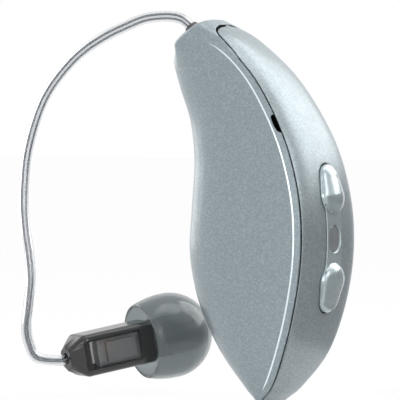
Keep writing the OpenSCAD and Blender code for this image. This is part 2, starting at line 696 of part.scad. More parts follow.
// Charging pads through the front wall and the small flex that joins them
pad_in = 0.1;
module charge_pads() color([0.85, 0.7, 0.35]) for (share = pad_shares) on_front(last * share)
    translate([-shell_wall - pad_in, 0, 0]) rotate([0, 90, 0])
        cylinder(d = pad_d, h = shell_wall + pad_in, $fn = facets);
charge_flex_w = 2;
charge_flex_shares = [0.145, 0.295];
module charge_flex() color([0.75, 0.5, 0.2]) across(charge_flex_w)
    polygon(front_band(last * charge_flex_shares[0], last * charge_flex_shares[1],
        shell_wall + pad_in + seat_gap, shell_wall + pad_in + seat_gap + foil_t, 6));

// Microphone cans on the spar, with the rubber boots that lead sound to them
front_mic_share = 0.855;
rear_mic_share = 0.725;
module mic_can(share) on_spine(last * share)
    translate([-spar_d, -mic_w / 2, -mic_l / 2]) cube([mic_h, mic_w, mic_l]);
module front_microphone() color([0.8, 0.72, 0.45]) mic_can(front_mic_share);
module rear_microphone() color([0.8, 0.72, 0.45]) mic_can(rear_mic_share);
boot_l = 0.7;
module front_mic_boot() color([0.16, 0.16, 0.17]) on_spine(last * front_mic_share)
    translate([-spar_d, 0, mic_l / 2]) difference() {
        translate([0, -mic_w / 2 + seat_gap, 0]) cube([mic_h, mic_w - 2 * seat_gap, boot_l]);
        translate([mic_h / 2, 0, -cut_over]) cylinder(d = boot_bore, h = boot_l + 2 * cut_over, $fn = facets);
    }
module on_boot() {
    p = under_spine(slot_t, boot_under);
    translate([p[0], 0, p[1]]) rotate([90, 0, 0]) children();
}
module rear_mic_boot() color([0.16, 0.16, 0.17]) on_boot() difference() {
    cylinder(d = boot_d, h = 2 * (boot_half - screen_t), center = true, $fn = facets);
    cylinder(d = boot_bore, h = 2 * boot_half + cut_over, center = true, $fn = facets);
}
screen_t = 0.12;
module mic_screens() color([0.1, 0.1, 0.1]) on_boot() for (side = [-1, 1])
    translate([0, 0, side * (boot_half - screen_t / 2)])
        cylinder(d = boot_d - 2 * seat_gap, h = screen_t, center = true, $fn = facets);

// The socket in the nose and its sprung contacts
contact_l = 0.5;
contact_t = 0.2;
contact_pitch = 1;
contact_first = 0.7;
module contact_ring(i) translate([0, 0, socket_sink + contact_first + i * contact_pitch]) difference() {
    cylinder(d = stem_d + 2 * (fit_gap + contact_t), h = contact_l, $fn = fine_facets);
    translate([0, 0, -cut_over])
        cylinder(d = stem_d + 2 * fit_gap, h = contact_l + 2 * cut_over, $fn = fine_facets);
}
module receiver_socket() color([0.14, 0.14, 0.15]) on_nose() rotate([0, -90, 0]) difference() {
    translate([0, 0, socket_sink])
        cylinder(d = socket_d, h = socket_l - socket_sink + socket_wall, $fn = fine_facets);
    cylinder(d = stem_d + 2 * fit_gap, h = socket_l, $fn = fine_facets);
    for (i = [0:2]) contact_ring(i);
}
module socket_contacts() color([0.85, 0.7, 0.35]) on_nose() rotate([0, -90, 0])
    for (i = [0:2]) contact_ring(i);

// Route of the lead from the plug to the receiver, chosen by hand
lead_route = [
    [-2.2, 0, 13], [-3.8, 0, 13.2], [-6, -0.1, 13], [-8.1, -0.2, 12.3], [-10.3, -0.3, 11.4],
    [-12.4, -0.5, 10.2], [-14.1, -0.7, 8.8], [-15.8, -0.9, 6.9], [-16.8, -1.2, 5.1], [-17.5, -1.6, 2.8],
    [-17.9, -2, 0.4], [-17.9, -2.4, -1.9], [-17.7, -2.8, -4.2], [-17.2, -3.2, -6.5], [-16.6, -3.5, -8.8],
    [-16.2, -3.8, -11], [-16.3, -4, -13.3], [-16.5, -4.1, -15.5], [-16.3, -3.9, -17], [-15.8, -3.4, -18.2]
];
receiver_at = [-14.3, -0.9, -18.4];
receiver_pitch = 10.3;
receiver_yaw = 60.5;
module on_receiver(s = 0) translate(receiver_at) rotate([0, -receiver_pitch, receiver_yaw])
    translate([s, 0, 0]) children();
receiver_flat = cos(receiver_pitch);
receiver_dir = [receiver_flat * cos(receiver_yaw), receiver_flat * sin(receiver_yaw), sin(receiver_pitch)];
plug_turn = 12;
plug_nub = 0.5;
plug_dir = [cos(nose_tilt + plug_turn), 0, sin(nose_tilt + plug_turn)];
flange_top = nose_mid + [cos(nose_tilt), sin(nose_tilt)] * flange_t;
lead_start = [flange_top[0], 0, flange_top[1]] + plug_dir * plug_nub;
lead_sink = 0.8;
lead_straight = 0.7;
plug_straight = 0.3;
lead_end = receiver_at + receiver_dir * lead_sink;
lead_in = receiver_at - receiver_dir * lead_straight;
lead_points = concat([lead_start, lead_start + plug_dir * plug_straight], lead_route, [lead_in, lead_end]);
lead_last = len(lead_points) - 1;
function lead_row(i) =
    i < 0 ? 2 * lead_points[0] - lead_points[1] :
    i > lead_last ? 2 * lead_points[lead_last] - lead_points[lead_last - 1] : lead_points[i];
function lead_place(t) =
    let (i = max(0, min(floor(t), lead_last - 1)))
    cubic(lead_row(i - 1), lead_row(i), lead_row(i + 1), lead_row(i + 2), t - i);
function unit(v) = v / norm(v);
function lead_way(t) =
    t <= 0 ? plug_dir : t >= lead_last ? receiver_dir : unit(lead_place(t + t_step) - lead_place(t - t_step));
lead_rings = 2 * lead_last;
lead_sides = 8;
wire_sides = 5;
lead_side = [0, 1, 0.3];

// A ring of n points round the lead's middle line, off to one side by shift
function lead_ring(t, r, n, shift = 0) =
    let (w = lead_way(t), a = unit(cross(w, lead_side)), b = cross(w, a), p = lead_place(t) + a * shift)
    [for (j = [0:n - 1]) p + r * (a * cos(360 * j / n) + b * sin(360 * j / n))];

// A sweep along the lead; over carries it on past both ends
module lead_sweep(r, n, shift = 0, over = 0) {
    rings = [for (i = [lead_rings:-1:0]) lead_ring(lead_last * i / lead_rings, r, n, shift)];
    first = [for (p = rings[0]) p + receiver_dir * over];
    end = [for (p = rings[lead_rings]) p - plug_dir * over];
    loft(over > 0 ? concat([first], rings, [end]) : rings);
}
module lead_tube() color([0.85, 0.86, 0.88, 0.5]) difference() {
    lead_sweep(lead_d / 2, lead_sides);
    lead_sweep(lead_bore / 2, lead_sides, over = cut_over);
}
module lead_wires() color([0.3, 0.3, 0.32]) for (s = [-1, 1])
    lead_sweep(wire_d / 2, wire_sides, s * (wire_d / 2 + step_in));

// The plug: a flange that covers the nose, a stem with rings, and a nub that the lead leaves from
flange_share = 0.9;
nub_wall = 0.25;
module lead_plug() color([0.33, 0.34, 0.37]) {
    on_nose() {
        scale_y = (half_w(last) - nose_r) * flange_share;
        scale_z = (chord(last) / 2 - nose_r) * flange_share;
        rotate([0, 90, 0]) linear_extrude(height = flange_t) hull() for (s = [-1, 1])
            translate([0, s * (scale_y - scale_z), 0]) circle(r = scale_z, $fn = facets);
        rotate([0, -90, 0]) cylinder(d = stem_d, h = stem_l, $fn = fine_facets);
    }
    translate([flange_top[0], 0, flange_top[1]]) rotate([0, 90 - nose_tilt - plug_turn, 0])
        translate([0, 0, -flange_t / 2])
            cylinder(d = lead_d + 2 * nub_wall, h = plug_nub + flange_t / 2, $fn = facets);
}

// The receiver's housing: a rounded box that narrows in flat facets to the lead, hollow inside
receiver_corner = 0.6;
receiver_neck_share = 0.55;
receiver_taper = 1.5;
receiver_end_wall = 0.3;
module receiver_block(grow, s0, s1, share) on_receiver() hull() {
    h = receiver_h / 2 + grow - receiver_corner;
    w = receiver_w / 2 + grow - receiver_corner;
    neck_r = (h + receiver_corner) * share;
    translate([s0, 0, 0]) rotate([0, 90, 0]) cylinder(r = neck_r, h = step_in, $fn = 6);
    for (y = [-w, w], z = [-h, h]) translate([s0 + receiver_taper, y, z]) rotate([0, 90, 0])
        cylinder(r = receiver_corner, h = s1 - s0 - receiver_taper, $fn = few_facets);
}
module receiver_housing() color([0.36, 0.36, 0.37, 0.8]) difference() {
    receiver_block(0, 0, receiver_l, receiver_neck_share);
    receiver_block(-receiver_wall, lead_sink + receiver_end_wall, receiver_l + cut_over, receiver_neck_share);
    on_receiver(-cut_over) rotate([0, 90, 0])
        cylinder(d = lead_d + 2 * seat_gap, h = 2 * cut_over + lead_sink, $fn = facets);
}
motor_h = 2.7;
motor_w = 2;
motor_at = 2.6;
motor_room = 0.8;
motor_l = receiver_l - motor_at - motor_room;
module receiver_motor() color([0.7, 0.71, 0.73]) on_receiver(motor_at)
    translate([0, -motor_w / 2, -motor_h / 2]) cube([motor_l, motor_w, motor_h]);
cradle_from_share = 0.2;
cradle_share = 0.6;
cradle_at = motor_at + motor_l * cradle_from_share;
module motor_cradle() color([0.25, 0.25, 0.27]) on_receiver(cradle_at) difference() {
    cradle_h = receiver_h - 2 * (receiver_wall + seat_gap + receiver_corner);
    cradle_w = receiver_w - 2 * (receiver_wall + seat_gap);
    translate([0, -cradle_w / 2, -cradle_h / 2]) cube([motor_l * cradle_share, cradle_w, cradle_h]);
    translate([-cut_over, -motor_w / 2 - seat_gap, -motor_h / 2 - seat_gap])
        cube([motor_l + cut_over, motor_w + 2 * seat_gap, motor_h + 2 * seat_gap]);
}

// The spout with its flange, the black collar on it and the guard in its mouth
spout_flange = 0.5;
spout_bore = 1.4;
collar_t = 0.6;
collar_over = 0.1;
guard_l = 1.4;
guard_d = 2;
module on_spout(s = 0) on_receiver(receiver_l + s) rotate([0, 90, 0]) children();
module sound_spout() color([0.3, 0.3, 0.31]) on_spout() difference() {
    union() {
        cylinder(d = receiver_w, h = spout_flange, $fn = fine_facets);
        cylinder(d = spout_d, h = spout_l, $fn = fine_facets);
    }
    translate([0, 0, -cut_over]) cylinder(d = spout_bore, h = spout_l + 2 * cut_over, $fn = fine_facets);
    translate([0, 0, spout_l - guard_l])
        cylinder(d = guard_d + 2 * step_in, h = guard_l + cut_over, $fn = fine_facets);
}
module receiver_collar() color([0.2, 0.21, 0.22]) on_spout(spout_flange) difference() {
    cylinder(d = receiver_w + 2 * collar_over, h = collar_t, $fn = fine_facets);
    translate([0, 0, -cut_over])
        cylinder(d = spout_d + 2 * step_in, h = collar_t + 2 * cut_over, $fn = fine_facets);
}
module wax_guard() color([0.92, 0.92, 0.9]) on_spout(spout_l - guard_l) difference() {
    cylinder(d = guard_d, h = guard_l, $fn = fine_facets);
    translate([0, 0, -cut_over]) cylinder(d = outlet_d, h = guard_l + 2 * cut_over, $fn = fine_facets);
}

// The soft dome: a round mushroom with an open back, and a sleeve inside that grips the spout
sleeve_t = 0.55;
sleeve_from = spout_flange + collar_t + seat_gap;
sleeve_root = 1.3;
dome_nose = 0.95;
dome_lip = 0.4;
dome_round = 0.08;
dome_mouth_r = spout_d / 2 - dome_lip;
dome_tip = spout_l + dome_nose;
dome_from = dome_tip - dome_l;
rim_turn = 29;
dome_turn = 76;
dome_steps = 12;
grip_r = spout_d / 2 + fit_gap;
function dome_profile(grow) =
    let (r = dome_d / 2 - grow, mid = dome_tip - dome_d / 2, back_r = (mid - dome_from) / sin(rim_turn))
    [for (i = [0:dome_steps]) let (a = -rim_turn + (rim_turn + dome_turn) * i / dome_steps)
        [r * cos(a), mid + (a < 0 ? back_r : r) * sin(a)]];
module ear_dome() color([0.37, 0.39, 0.4, 0.8]) on_spout() rotate_extrude($fn = 2 * facets) polygon(concat(
    dome_profile(0),
    [[dome_mouth_r + dome_round, dome_tip], [dome_mouth_r, dome_tip - dome_round]],
    [[dome_mouth_r, spout_l + seat_gap], [grip_r, spout_l + seat_gap], [grip_r, sleeve_from]],
    [[grip_r + sleeve_t, sleeve_from], [grip_r + sleeve_t, dome_tip - sleeve_root]],
    [for (i = [dome_steps - 2:-1:0]) dome_profile(dome_skin)[i]]));

case_tub();
spine_cover();
seam_gasket();
inner_frame();
battery_cell();
battery_tabs();
main_board();
signal_processor();
radio_chip();
charge_chip();
capacitors();
telecoil();
antenna_strip();
control_flex();
upper_switch();
lower_switch();
status_led();
rocker_pin();
charge_pads();
charge_flex();
front_microphone();
rear_microphone();
front_mic_boot();
rear_mic_boot();
mic_screens();
receiver_socket();
socket_contacts();
rocker();
light_window();
lead_plug();
lead_tube();
lead_wires();
receiver_housing();
receiver_motor();
motor_cradle();
sound_spout();
receiver_collar();
wax_guard();
ear_dome();
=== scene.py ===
"""A hearing aid worn behind the ear: looks for its shells, keys, lead, receiver and dome.

Shapes are worked out in millimetres with numpy, in the frame of the CAD model: +Z up along the
body, +X towards the spine, -Y the outer side. They are put into meshes in metres.
"""

import math
from types import SimpleNamespace

import bpy
import numpy as np
from bpy.props import FloatProperty, FloatVectorProperty, PointerProperty
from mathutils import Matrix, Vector


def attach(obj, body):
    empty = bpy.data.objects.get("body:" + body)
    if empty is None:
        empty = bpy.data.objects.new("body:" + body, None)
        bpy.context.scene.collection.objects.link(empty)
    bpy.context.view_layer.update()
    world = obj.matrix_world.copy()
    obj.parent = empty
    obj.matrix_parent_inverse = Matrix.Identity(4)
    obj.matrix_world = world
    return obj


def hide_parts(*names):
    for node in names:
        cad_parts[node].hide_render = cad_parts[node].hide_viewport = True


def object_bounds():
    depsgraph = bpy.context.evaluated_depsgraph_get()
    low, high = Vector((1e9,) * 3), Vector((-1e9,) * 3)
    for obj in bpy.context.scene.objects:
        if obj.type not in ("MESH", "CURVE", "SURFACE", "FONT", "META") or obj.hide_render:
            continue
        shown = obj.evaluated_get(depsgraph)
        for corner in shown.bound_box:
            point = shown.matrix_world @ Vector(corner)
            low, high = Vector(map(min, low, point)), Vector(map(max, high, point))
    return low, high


bl_info = {
    "name": "Ear Aid Builder",
    "version": (1, 0, 0),
    "blender": (4, 5, 0),
    "location": "View3D > Sidebar > Ear Aid",
    "description": "Builds the detailed pieces and finishes of a hearing aid worn behind the ear",
    "category": "Object",
}

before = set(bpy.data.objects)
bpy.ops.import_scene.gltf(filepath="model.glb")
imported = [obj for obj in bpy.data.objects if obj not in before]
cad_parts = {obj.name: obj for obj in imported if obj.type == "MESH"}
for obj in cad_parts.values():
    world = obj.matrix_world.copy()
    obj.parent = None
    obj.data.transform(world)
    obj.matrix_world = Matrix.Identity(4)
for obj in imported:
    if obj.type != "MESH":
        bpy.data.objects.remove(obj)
CAD_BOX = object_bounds()
MM = 0.001

# Shares of height, depth and width that shape each section of the body, from the tip to the nose:
# front height, front reach, back height, back reach, width, crown of the cover
SECTION_SHARES = np.array([
    [-0.626, 0.459, -0.626, 0.595, 0.40, 0.75],
    [-0.588, 0.365, -0.588, 0.696, 0.59, 0.75],
    [-0.503, 0.203, -0.503, 0.824, 0.86, 0.71],
    [-0.386, 0.047, -0.386, 0.912, 0.97, 0.58],
    [-0.252, -0.034, -0.252, 0.966, 1.00, 0.54],
    [-0.117, -0.020, -0.117, 0.963, 0.99, 0.58],
    [0.000, 0.000, 0.018, 0.892, 0.96, 0.67],
    [0.105, -0.030, 0.134, 0.767, 0.89, 0.79],
    [0.190, -0.105, 0.240, 0.588, 0.80, 0.83],
    [0.257, -0.155, 0.320, 0.372, 0.70, 1.00],
    [0.281, -0.160, 0.373, 0.142, 0.62, 1.50],
])
LAST = len(SECTION_SHARES) - 1
# Turns at which the tip's and the nose's rounding start, in degrees, and those of an edge's rolled rows
TIP_TURN, NOSE_TURN = 45, 12
ROLL_TURNS = np.radians([30, 60, 90])
# Station of the side slot's middle, and millimetres to a station there
SLOT_T, SLOT_PITCH = 6.74, 4.4
# Columns of a half section: the side curve, the crease, the strip and the arch
SIDE, CREASE, STRIP, ARCH = 27, 5, 4, 14
# Height of the dome's tip over the end of the receiver
DOME_TIP = 6.45
# A direction that no piece of revolution and no part of the lead follows, to start their rings from
ASIDE = np.array([0.0, 1.0, 0.3])

# The points that the lead follows between the plug and the receiver
LEAD_ROUTE = np.array([
    [-2.2, 0, 13], [-3.8, 0, 13.2], [-6, -0.1, 13], [-8.1, -0.2, 12.3], [-10.3, -0.3, 11.4],
    [-12.4, -0.5, 10.2], [-14.1, -0.7, 8.8], [-15.8, -0.9, 6.9], [-16.8, -1.2, 5.1],
    [-17.5, -1.6, 2.8], [-17.9, -2, 0.4], [-17.9, -2.4, -1.9], [-17.7, -2.8, -4.2],
    [-17.2, -3.2, -6.5], [-16.6, -3.5, -8.8], [-16.2, -3.8, -11], [-16.3, -4, -13.3],
    [-16.5, -4.1, -15.5], [-16.3, -3.9, -17], [-15.8, -3.4, -18.2],
])


# ---------------------------------------------------------------- sizes and colours

def length(label, note, default):
    """A length property; the default is in millimetres and is kept in metres."""
    return FloatProperty(name=label, description=note, default=default * MM, unit="LENGTH", precision=5)


def colour(label, note, default):
    """A colour property; the default is given as the display colour, 0 to 255 in each channel."""
    linear = [((c / 255 + 0.055) / 1.055) ** 2.4 if c > 10 else c / 255 / 12.92 for c in default]
    return FloatVectorProperty(name=label, description=note, default=linear, subtype="COLOR", min=0, max=1)


class AidBodySizes(bpy.types.PropertyGroup):
    """Sizes of the two shells."""

    height: length("Height", "Height of the body between its first and last section", 34.2)
    depth: length("Depth", "Depth of the body at its fullest", 14.8)
    width: length("Width", "Width of the body across the two creases", 9.5)
    rise: length("Cover rise", "How far the spine cover is arched over its own edge", 1.2)
    wall: length("Wall", "Thickness of the shells", 0.9)
    strip: length("Strip", "Width of the slanted strip between the crease and the cover", 0.75)
    gap: length("Seam gap", "Line left open between the two shells", 0.07)
    nose_round: length("Nose radius", "Radius that rounds the nose", 0.9)
    tip_round: length("Tip radius", "Radius that rounds the tip", 1.3)
    edge: length("Edge radius", "Radius of the edges along the seam", 0.06)
    crease: length("Crease softness", "How far from the crease its rounding starts", 0.09)
    slot_length: length("Slot length", "Length of the side slot of the rear microphone", 1.85)
    slot_width: length("Slot width", "Width of that slot", 0.4)


class AidRockerSizes(bpy.types.PropertyGroup):
    """Sizes of the rocker and its window."""

    length: length("Length", "Length of the rocker along the spine", 13.4)
    strip: length("Strip width", "Width of the narrow strip between the two bumps", 2.4)
    thick: length("Thickness", "Thickness of the rocker", 0.6)
    bump_length: length("Bump length", "Length of one bump", 4.5)
    bump_width: length("Bump width", "Width of one bump", 3.3)
    bump_height: length("Bump height", "Height of a bump over the strip", 0.8)
    proud: length("Standing out", "How far the strip stands out of the cover", 0.1)
    gap: length("Gap", "Line left open round the rocker", 0.09)
    pocket: length("Pocket depth", "Depth of the pocket in the cover", 0.95)
    window_length: length("Window length", "Length of the light window", 2.4)
    window_width: length("Window width", "Width of the light window", 1.9)


class AidLeadSizes(bpy.types.PropertyGroup):
    """Sizes of the lead and its plug."""

    tube: length("Tube diameter", "Outer diameter of the clear lead", 1.0)
    bore: length("Bore", "Bore of the clear lead", 0.66)
    wire: length("Wire diameter", "Diameter of one wire", 0.2)
    pitch: length("Twist pitch", "Length in which the pair of wires turns once", 150.0)
    flange: length("Flange thickness", "Thickness of the plug's flange", 0.3)
    stem: length("Stem diameter", "Diameter of the plug's stem", 1.7)


class AidReceiverSizes(bpy.types.PropertyGroup):
    """Sizes of the receiver and its dome."""

    length: length("Length", "Length of the receiver's housing", 8.4)
    height: length("Height", "Height of the receiver's housing", 3.9)
    width: length("Width", "Width of the receiver's housing", 3.6)
    wall: length("Wall", "Thickness of the receiver's housing", 0.4)
    dome: length("Dome diameter", "Diameter of the soft dome", 8.0)
    dome_length: length("Dome length", "Length of the dome from rim to tip", 6.9)
    skin: length("Dome skin", "Thickness of the dome's skirt", 0.3)


class AidColours(bpy.types.PropertyGroup):
    """Colours of the finishes."""

    paint: colour("Body paint", "Grey blue metallic paint of the shells", (140, 153, 159))
    cover: colour("Cover paint", "Grey metallic paint of the spine cover", (141, 151, 155))
    fleck: colour("Paint fleck", "Light flecks in the metallic paint", (176, 188, 193))
    # Painted highlight: the crease's fillet gets this near-white colour in place of the light it would catch.
    edge: colour("Painted crease highlight", "Near-white paint on the crease, a painted highlight", (232, 244, 246))
    key: colour("Rocker paint", "Paint of the rocker", (168, 181, 185))
    # Partly painted shade: the bare inner plastic is made near black so that the rims in the seam line and the
    # side slot show as shade.
    inside: colour("Inner plastic and painted shade", "Bare plastic inside the shells, near black as painted shade in the seam and slot", (12, 12, 13))
    lens: colour("Window", "Smoked plastic of the light window", (150, 154, 156))
    smoke: colour("Smoked plastic", "Plastic of the receiver's housing", (190, 190, 191))
    dome: colour("Dome", "Silicone of the soft dome", (166, 174, 176))
    tube: colour("Tube", "Clear plastic of the lead", (228, 230, 232))
    wire: colour("Wire", "Tinned copper wire of the lead", (156, 158, 161))
    floor: colour("Floor", "Pale floor", (252, 252, 252))


def values_of(name, read):
    """What read makes of each value of a property group, by its name."""
    group = getattr(bpy.context.scene, name)
    return SimpleNamespace(**{p.identifier: read(getattr(group, p.identifier))
                              for p in group.bl_rna.properties if p.type == "FLOAT"})


def sizes(group):
    """The group's lengths in millimetres, by name."""
    return values_of(group, lambda value: value / MM)


def colours():
    """The colours of the finishes, each with alpha, by name."""
    return values_of("aid_colours", lambda value: (*value, 1.0))


# ---------------------------------------------------------------- meshes

def grid_faces(rows, cols, wrap=False, first=0):
    """Quads between the rows and columns of a grid of points; wrap joins the last column to the first."""
    r = np.arange(rows - 1)[:, None]
    c = np.arange(cols if wrap else cols - 1)[None]
    n = (c + 1) % cols
    quads = [r * cols + c, r * cols + n, (r + 1) * cols + n, (r + 1) * cols + c]
    return np.stack(quads, -1).reshape(-1, 4) + first


def weld(points, faces, *others):
    """Points that agree to a ten-thousandth of a millimetre become one, and the faces and others follow."""
    key = np.round(points * 1e4).astype(np.int64)
    _, first, back = np.unique(key, axis=0, return_index=True, return_inverse=True)
    return (points[first], back.reshape(-1)[faces]) + tuple(o[first] for o in others)


def unit(v):
    """Vectors along the last axis, each drawn to length 1."""
    return v / np.linalg.norm(v, axis=-1, keepdims=True)


def circle(n):
    """Cosine and sine of n even turns round a circle."""
    a = np.linspace(0, 2 * math.pi, n, endpoint=False)
    return np.stack([np.cos(a), np.sin(a)], 1)


def points_in(points, chosen):
    """Which of the points are among the chosen ones."""
    a, b = (np.round(p * 1e4).astype(np.int64) @ np.array([1, 1 << 21, 1 << 42]) for p in (points, chosen))
    return np.isin(a, b)


def outward(points, faces):
    """Faces of a closed mesh, turned so that the volume under them is positive."""
    a, b, c, d = (points[faces[:, i]] for i in range(4))
    volume = (np.cross(a, b) * c).sum() + (np.cross(a, c) * d).sum()
    return faces if volume > 0 else faces[:, ::-1]


def ring_mesh(rings):
    """A closed mesh from rings of points, each joined to the next."""
    rings = np.asarray(rings)
    points = rings.reshape(-1, 3)
    return points, outward(points, grid_faces(len(rings), rings.shape[1], wrap=True))


def walled(outer, inner, faces):
    """A closed shell: the outer surface, the same faces turned round on its inner points, and rims between.

    A rim stands on each edge that only one face has. The kinds are 0 outside, 1 inside and 2 on a rim.
    """
    outer, faces, inner = weld(outer, faces, inner)
    n = len(outer)
    a = faces.reshape(-1)
    b = np.roll(faces, -1, axis=1).reshape(-1)
    keep = a != b
    a, b = a[keep], b[keep]
    key = np.minimum(a, b) * np.int64(n) + np.maximum(a, b)
    _, back, count = np.unique(key, return_inverse=True, return_counts=True)
    edge = count[back.reshape(-1)] == 1
    a, b = a[edge], b[edge]
    rim = np.stack([b, a, a + n, b + n], 1)
    kinds = np.repeat([0, 1, 2], [len(faces), len(faces), len(rim)])
    return np.vstack([outer, inner]), np.vstack([faces, faces[:, ::-1] + n, rim]), kinds


def joined(*parts):
    """Several (points, faces) as one; each part's faces are counted on."""
    points, faces, n = [], [], 0
    for p, f in parts:
        points.append(p)
        faces.append(f + n)
        n += len(p)
    return np.vstack(points), np.vstack(faces)


def put_mesh(name, points, faces, finishes, body, slot, node, kinds=None, flat=None):
    """A mesh object in metres that takes the place of a CAD node.

    The points are in millimetres. The faces are quads, some of which may have shrunk to triangles or to
    nothing. Kinds count the finishes from 0, and flat marks the faces that aren't shaded smooth.
    """
    old = bpy.data.objects.get(name)
    if old is not None:
        bpy.data.objects.remove(old)
    if not np.isfinite(points).all():
        raise RuntimeError(f"{name} has a point that is not a number")
    points, faces = weld(points, faces)
    same = faces == np.roll(faces, -1, axis=1)
    kinds = np.zeros(len(faces), int) if kinds is None else np.asarray(kinds)
    flat = np.zeros(len(faces), bool) if flat is None else flat
    good = (same.sum(1) <= 1) & (faces[:, 0] != faces[:, 2]) & (faces[:, 1] != faces[:, 3])
    faces, same, kinds, flat = faces[good], same[good], kinds[good], flat[good]
    corners = faces[~same]
    total = 4 - same.sum(1)
    mesh = bpy.data.meshes.new(name)
    mesh.vertices.add(len(points))
    mesh.vertices.foreach_set("co", (points * MM).astype(np.float32).reshape(-1))
    mesh.loops.add(len(corners))
    mesh.loops.foreach_set("vertex_index", corners.astype(np.int32))
    mesh.polygons.add(len(faces))
    mesh.polygons.foreach_set("loop_start", (np.cumsum(total) - total).astype(np.int32))
    mesh.polygons.foreach_set("loop_total", total.astype(np.int32))
    for name_of in finishes.split():
        mesh.materials.append(finish(name_of))
    mesh.polygons.foreach_set("material_index", kinds.astype(np.int32))
    mesh.polygons.foreach_set("use_smooth", ~flat)
    mesh.update(calc_edges=True)
    mesh.validate()
    obj = bpy.data.objects.new(name, mesh)
    bpy.context.scene.collection.objects.link(obj)
    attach(obj, body)
    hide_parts(node)


# ---------------------------------------------------------------- curves and sections

def cubic(a, b, c, d, u):
    """The cubic through b and c that its neighbours a and d lead, at shares u of the way."""
    return (2 * b + (c - a) * u + (2 * a - 5 * b + 4 * c - d) * u**2 + (3 * b - a - 3 * c + d) * u**3) / 2


def along_rows(rows, t):
    """A table of rows as a smooth curve at stations t, carried on in a straight line past both ends."""
    rows = np.vstack([2 * rows[0] - rows[1], rows, 2 * rows[-1] - rows[-2]])
    i = np.clip(np.floor(t).astype(int), 0, len(rows) - 4)
    return cubic(rows[i], rows[i + 1], rows[i + 2], rows[i + 3], (t - i)[..., None])


def bezier(p, u):
    """The cubic with control values p, at shares u of the way."""
    return (1 - u)**3 * p[0] + 3 * (1 - u)**2 * u * p[1] + 3 * (1 - u) * u * u * p[2] + u**3 * p[3]


def solve_rising(f, target, shape):
    """The share from 0 to 1 at which the rising function f reaches target, by halving 30 times."""
    low, high = np.zeros(shape), np.ones(shape)
    for _ in range(30):
        mid = (low + high) / 2
        under = f(mid) < target
        low, high = np.where(under, mid, low), np.where(under, high, mid)
    return (low + high) / 2


class BodyForm:
    """The outer form of the body at stations t, where whole stations are the rows of SECTION_SHARES."""

    slant = math.radians(28)
    # Stations over which the strip fades in at an end, and where the seam turns up to the nose and ends
    fade_rows, seam_turn, seam_end = 1.2, LAST - 1.7, LAST - 0.2
    # Shares of the chord that the strip and the crown may take, and the pulls of the side curve and the arch
    strip_cap, crown_cap = 0.2, 0.42
    belly, cheek, pull = 0.58, 0.86, 0.75
    # How much more than the sides the front and the spine are drawn in and dropped at a rounded end
    front_round, front_draw, front_drop, side_round, spine_drop = 0.4, 1.2, 0.6, 0.9, 0.15

    def __init__(self):
        self.s = sizes("aid_body")

    def at(self, t):
        """Front and back places [x, z], half width, crown, chord and inward direction at stations t."""
        t = np.asarray(t, float)
        s, k = self.s, along_rows(SECTION_SHARES, t)
        front = np.stack([k[..., 1] * s.depth, k[..., 0] * s.height], -1)
        back = np.stack([k[..., 3] * s.depth, k[..., 2] * s.height], -1)
        chord = np.linalg.norm(front - back, axis=-1)
        inward = (front - back) / chord[..., None]
        fade = np.clip(np.minimum(t, LAST - t) / self.fade_rows, 0, 1)
        soft = np.clip((t - self.seam_turn) / 1.3, 0, 1)
        half, crown = k[..., 4] * s.width / 2, k[..., 5] * s.rise
        strip, cap = np.minimum(s.strip, chord * self.strip_cap), np.minimum(crown, chord * self.crown_cap)
        a = self.slant * fade
        draw = self.front_draw * np.clip((t - LAST + 1.4) / 1.4, 0, 1)**2
        return SimpleNamespace(
            front=front, back=back, chord=chord, inward=inward, half=half, crown=crown, cap=cap, draw=draw,
            soft=soft * soft * (3 - 2 * soft), fade=fade, crease=cap + strip * np.cos(a),
            top=half - strip * np.sin(a))

    def seam_depth(self, t, f):
        """Depth of the seam under the spine: the crown's own, running out to nothing at the nose."""
        x = np.clip((t - self.seam_turn) / (self.seam_end - self.seam_turn), 0, 1)
        return f.crown * (1 - x**1.5)

    def arch(self, f, u):
        """Depth and half width on the arch of the cover, from its edge at u = 0 to the spine at u = 1."""
        shoulder = f.top - f.cap * self.pull * (1 - f.soft)
        half = bezier([f.top, shoulder, f.top * (0.55 + 0.1 * f.soft), 0 * f.top], u)
        return bezier([f.cap, f.cap * (1 - self.pull), 0 * f.cap, 0 * f.cap], u), half

    def arch_to(self, f, depth):
        """The share of the arch at which it has risen to that depth."""
        return solve_rising(lambda u: -self.arch(f, u)[0], -depth, np.broadcast(depth, f.cap).shape)

    def place(self, f, depth, y, share=0, reach=0):
        """Points [x, y, z] at a depth and half width of a section, drawn in by share and moved on by reach."""
        u = f.inward
        front = np.clip(2 * depth / f.chord - 1, 0, 1)**2
        wide = share * (1 + self.side_round * (reach > 0))
        share = share * (1 + self.front_round * front * (reach > 0))
        d = (depth - f.chord / 2) * (1 - 2 * share / f.chord) - f.draw * front
        spine = np.clip(1 - 2 * depth / f.chord, 0, 1)**2
        reach = reach * (1 - (0.2 + self.front_drop * front + self.spine_drop * spine) * (reach > 0))
        mid = (f.front + f.back) / 2
        return np.stack([mid[..., 0] + u[..., 0] * d + u[..., 1] * reach, y * (1 - wide / f.half),
                         mid[..., 1] + u[..., 1] * d - u[..., 0] * reach], -1)

    def over_spine(self, t, y, under=0.0):
        """Points of the arched cover over station t and half width y, sunk by under."""
        f = self.at(t)
        u = solve_rising(lambda v: -self.arch(f, v)[1], -np.abs(y), np.shape(y))
        depth = self.arch(f, u)[0] + under
        return np.stack([f.back[..., 0] + f.inward[..., 0] * depth, y,
                         f.back[..., 1] + f.inward[..., 1] * depth], -1)


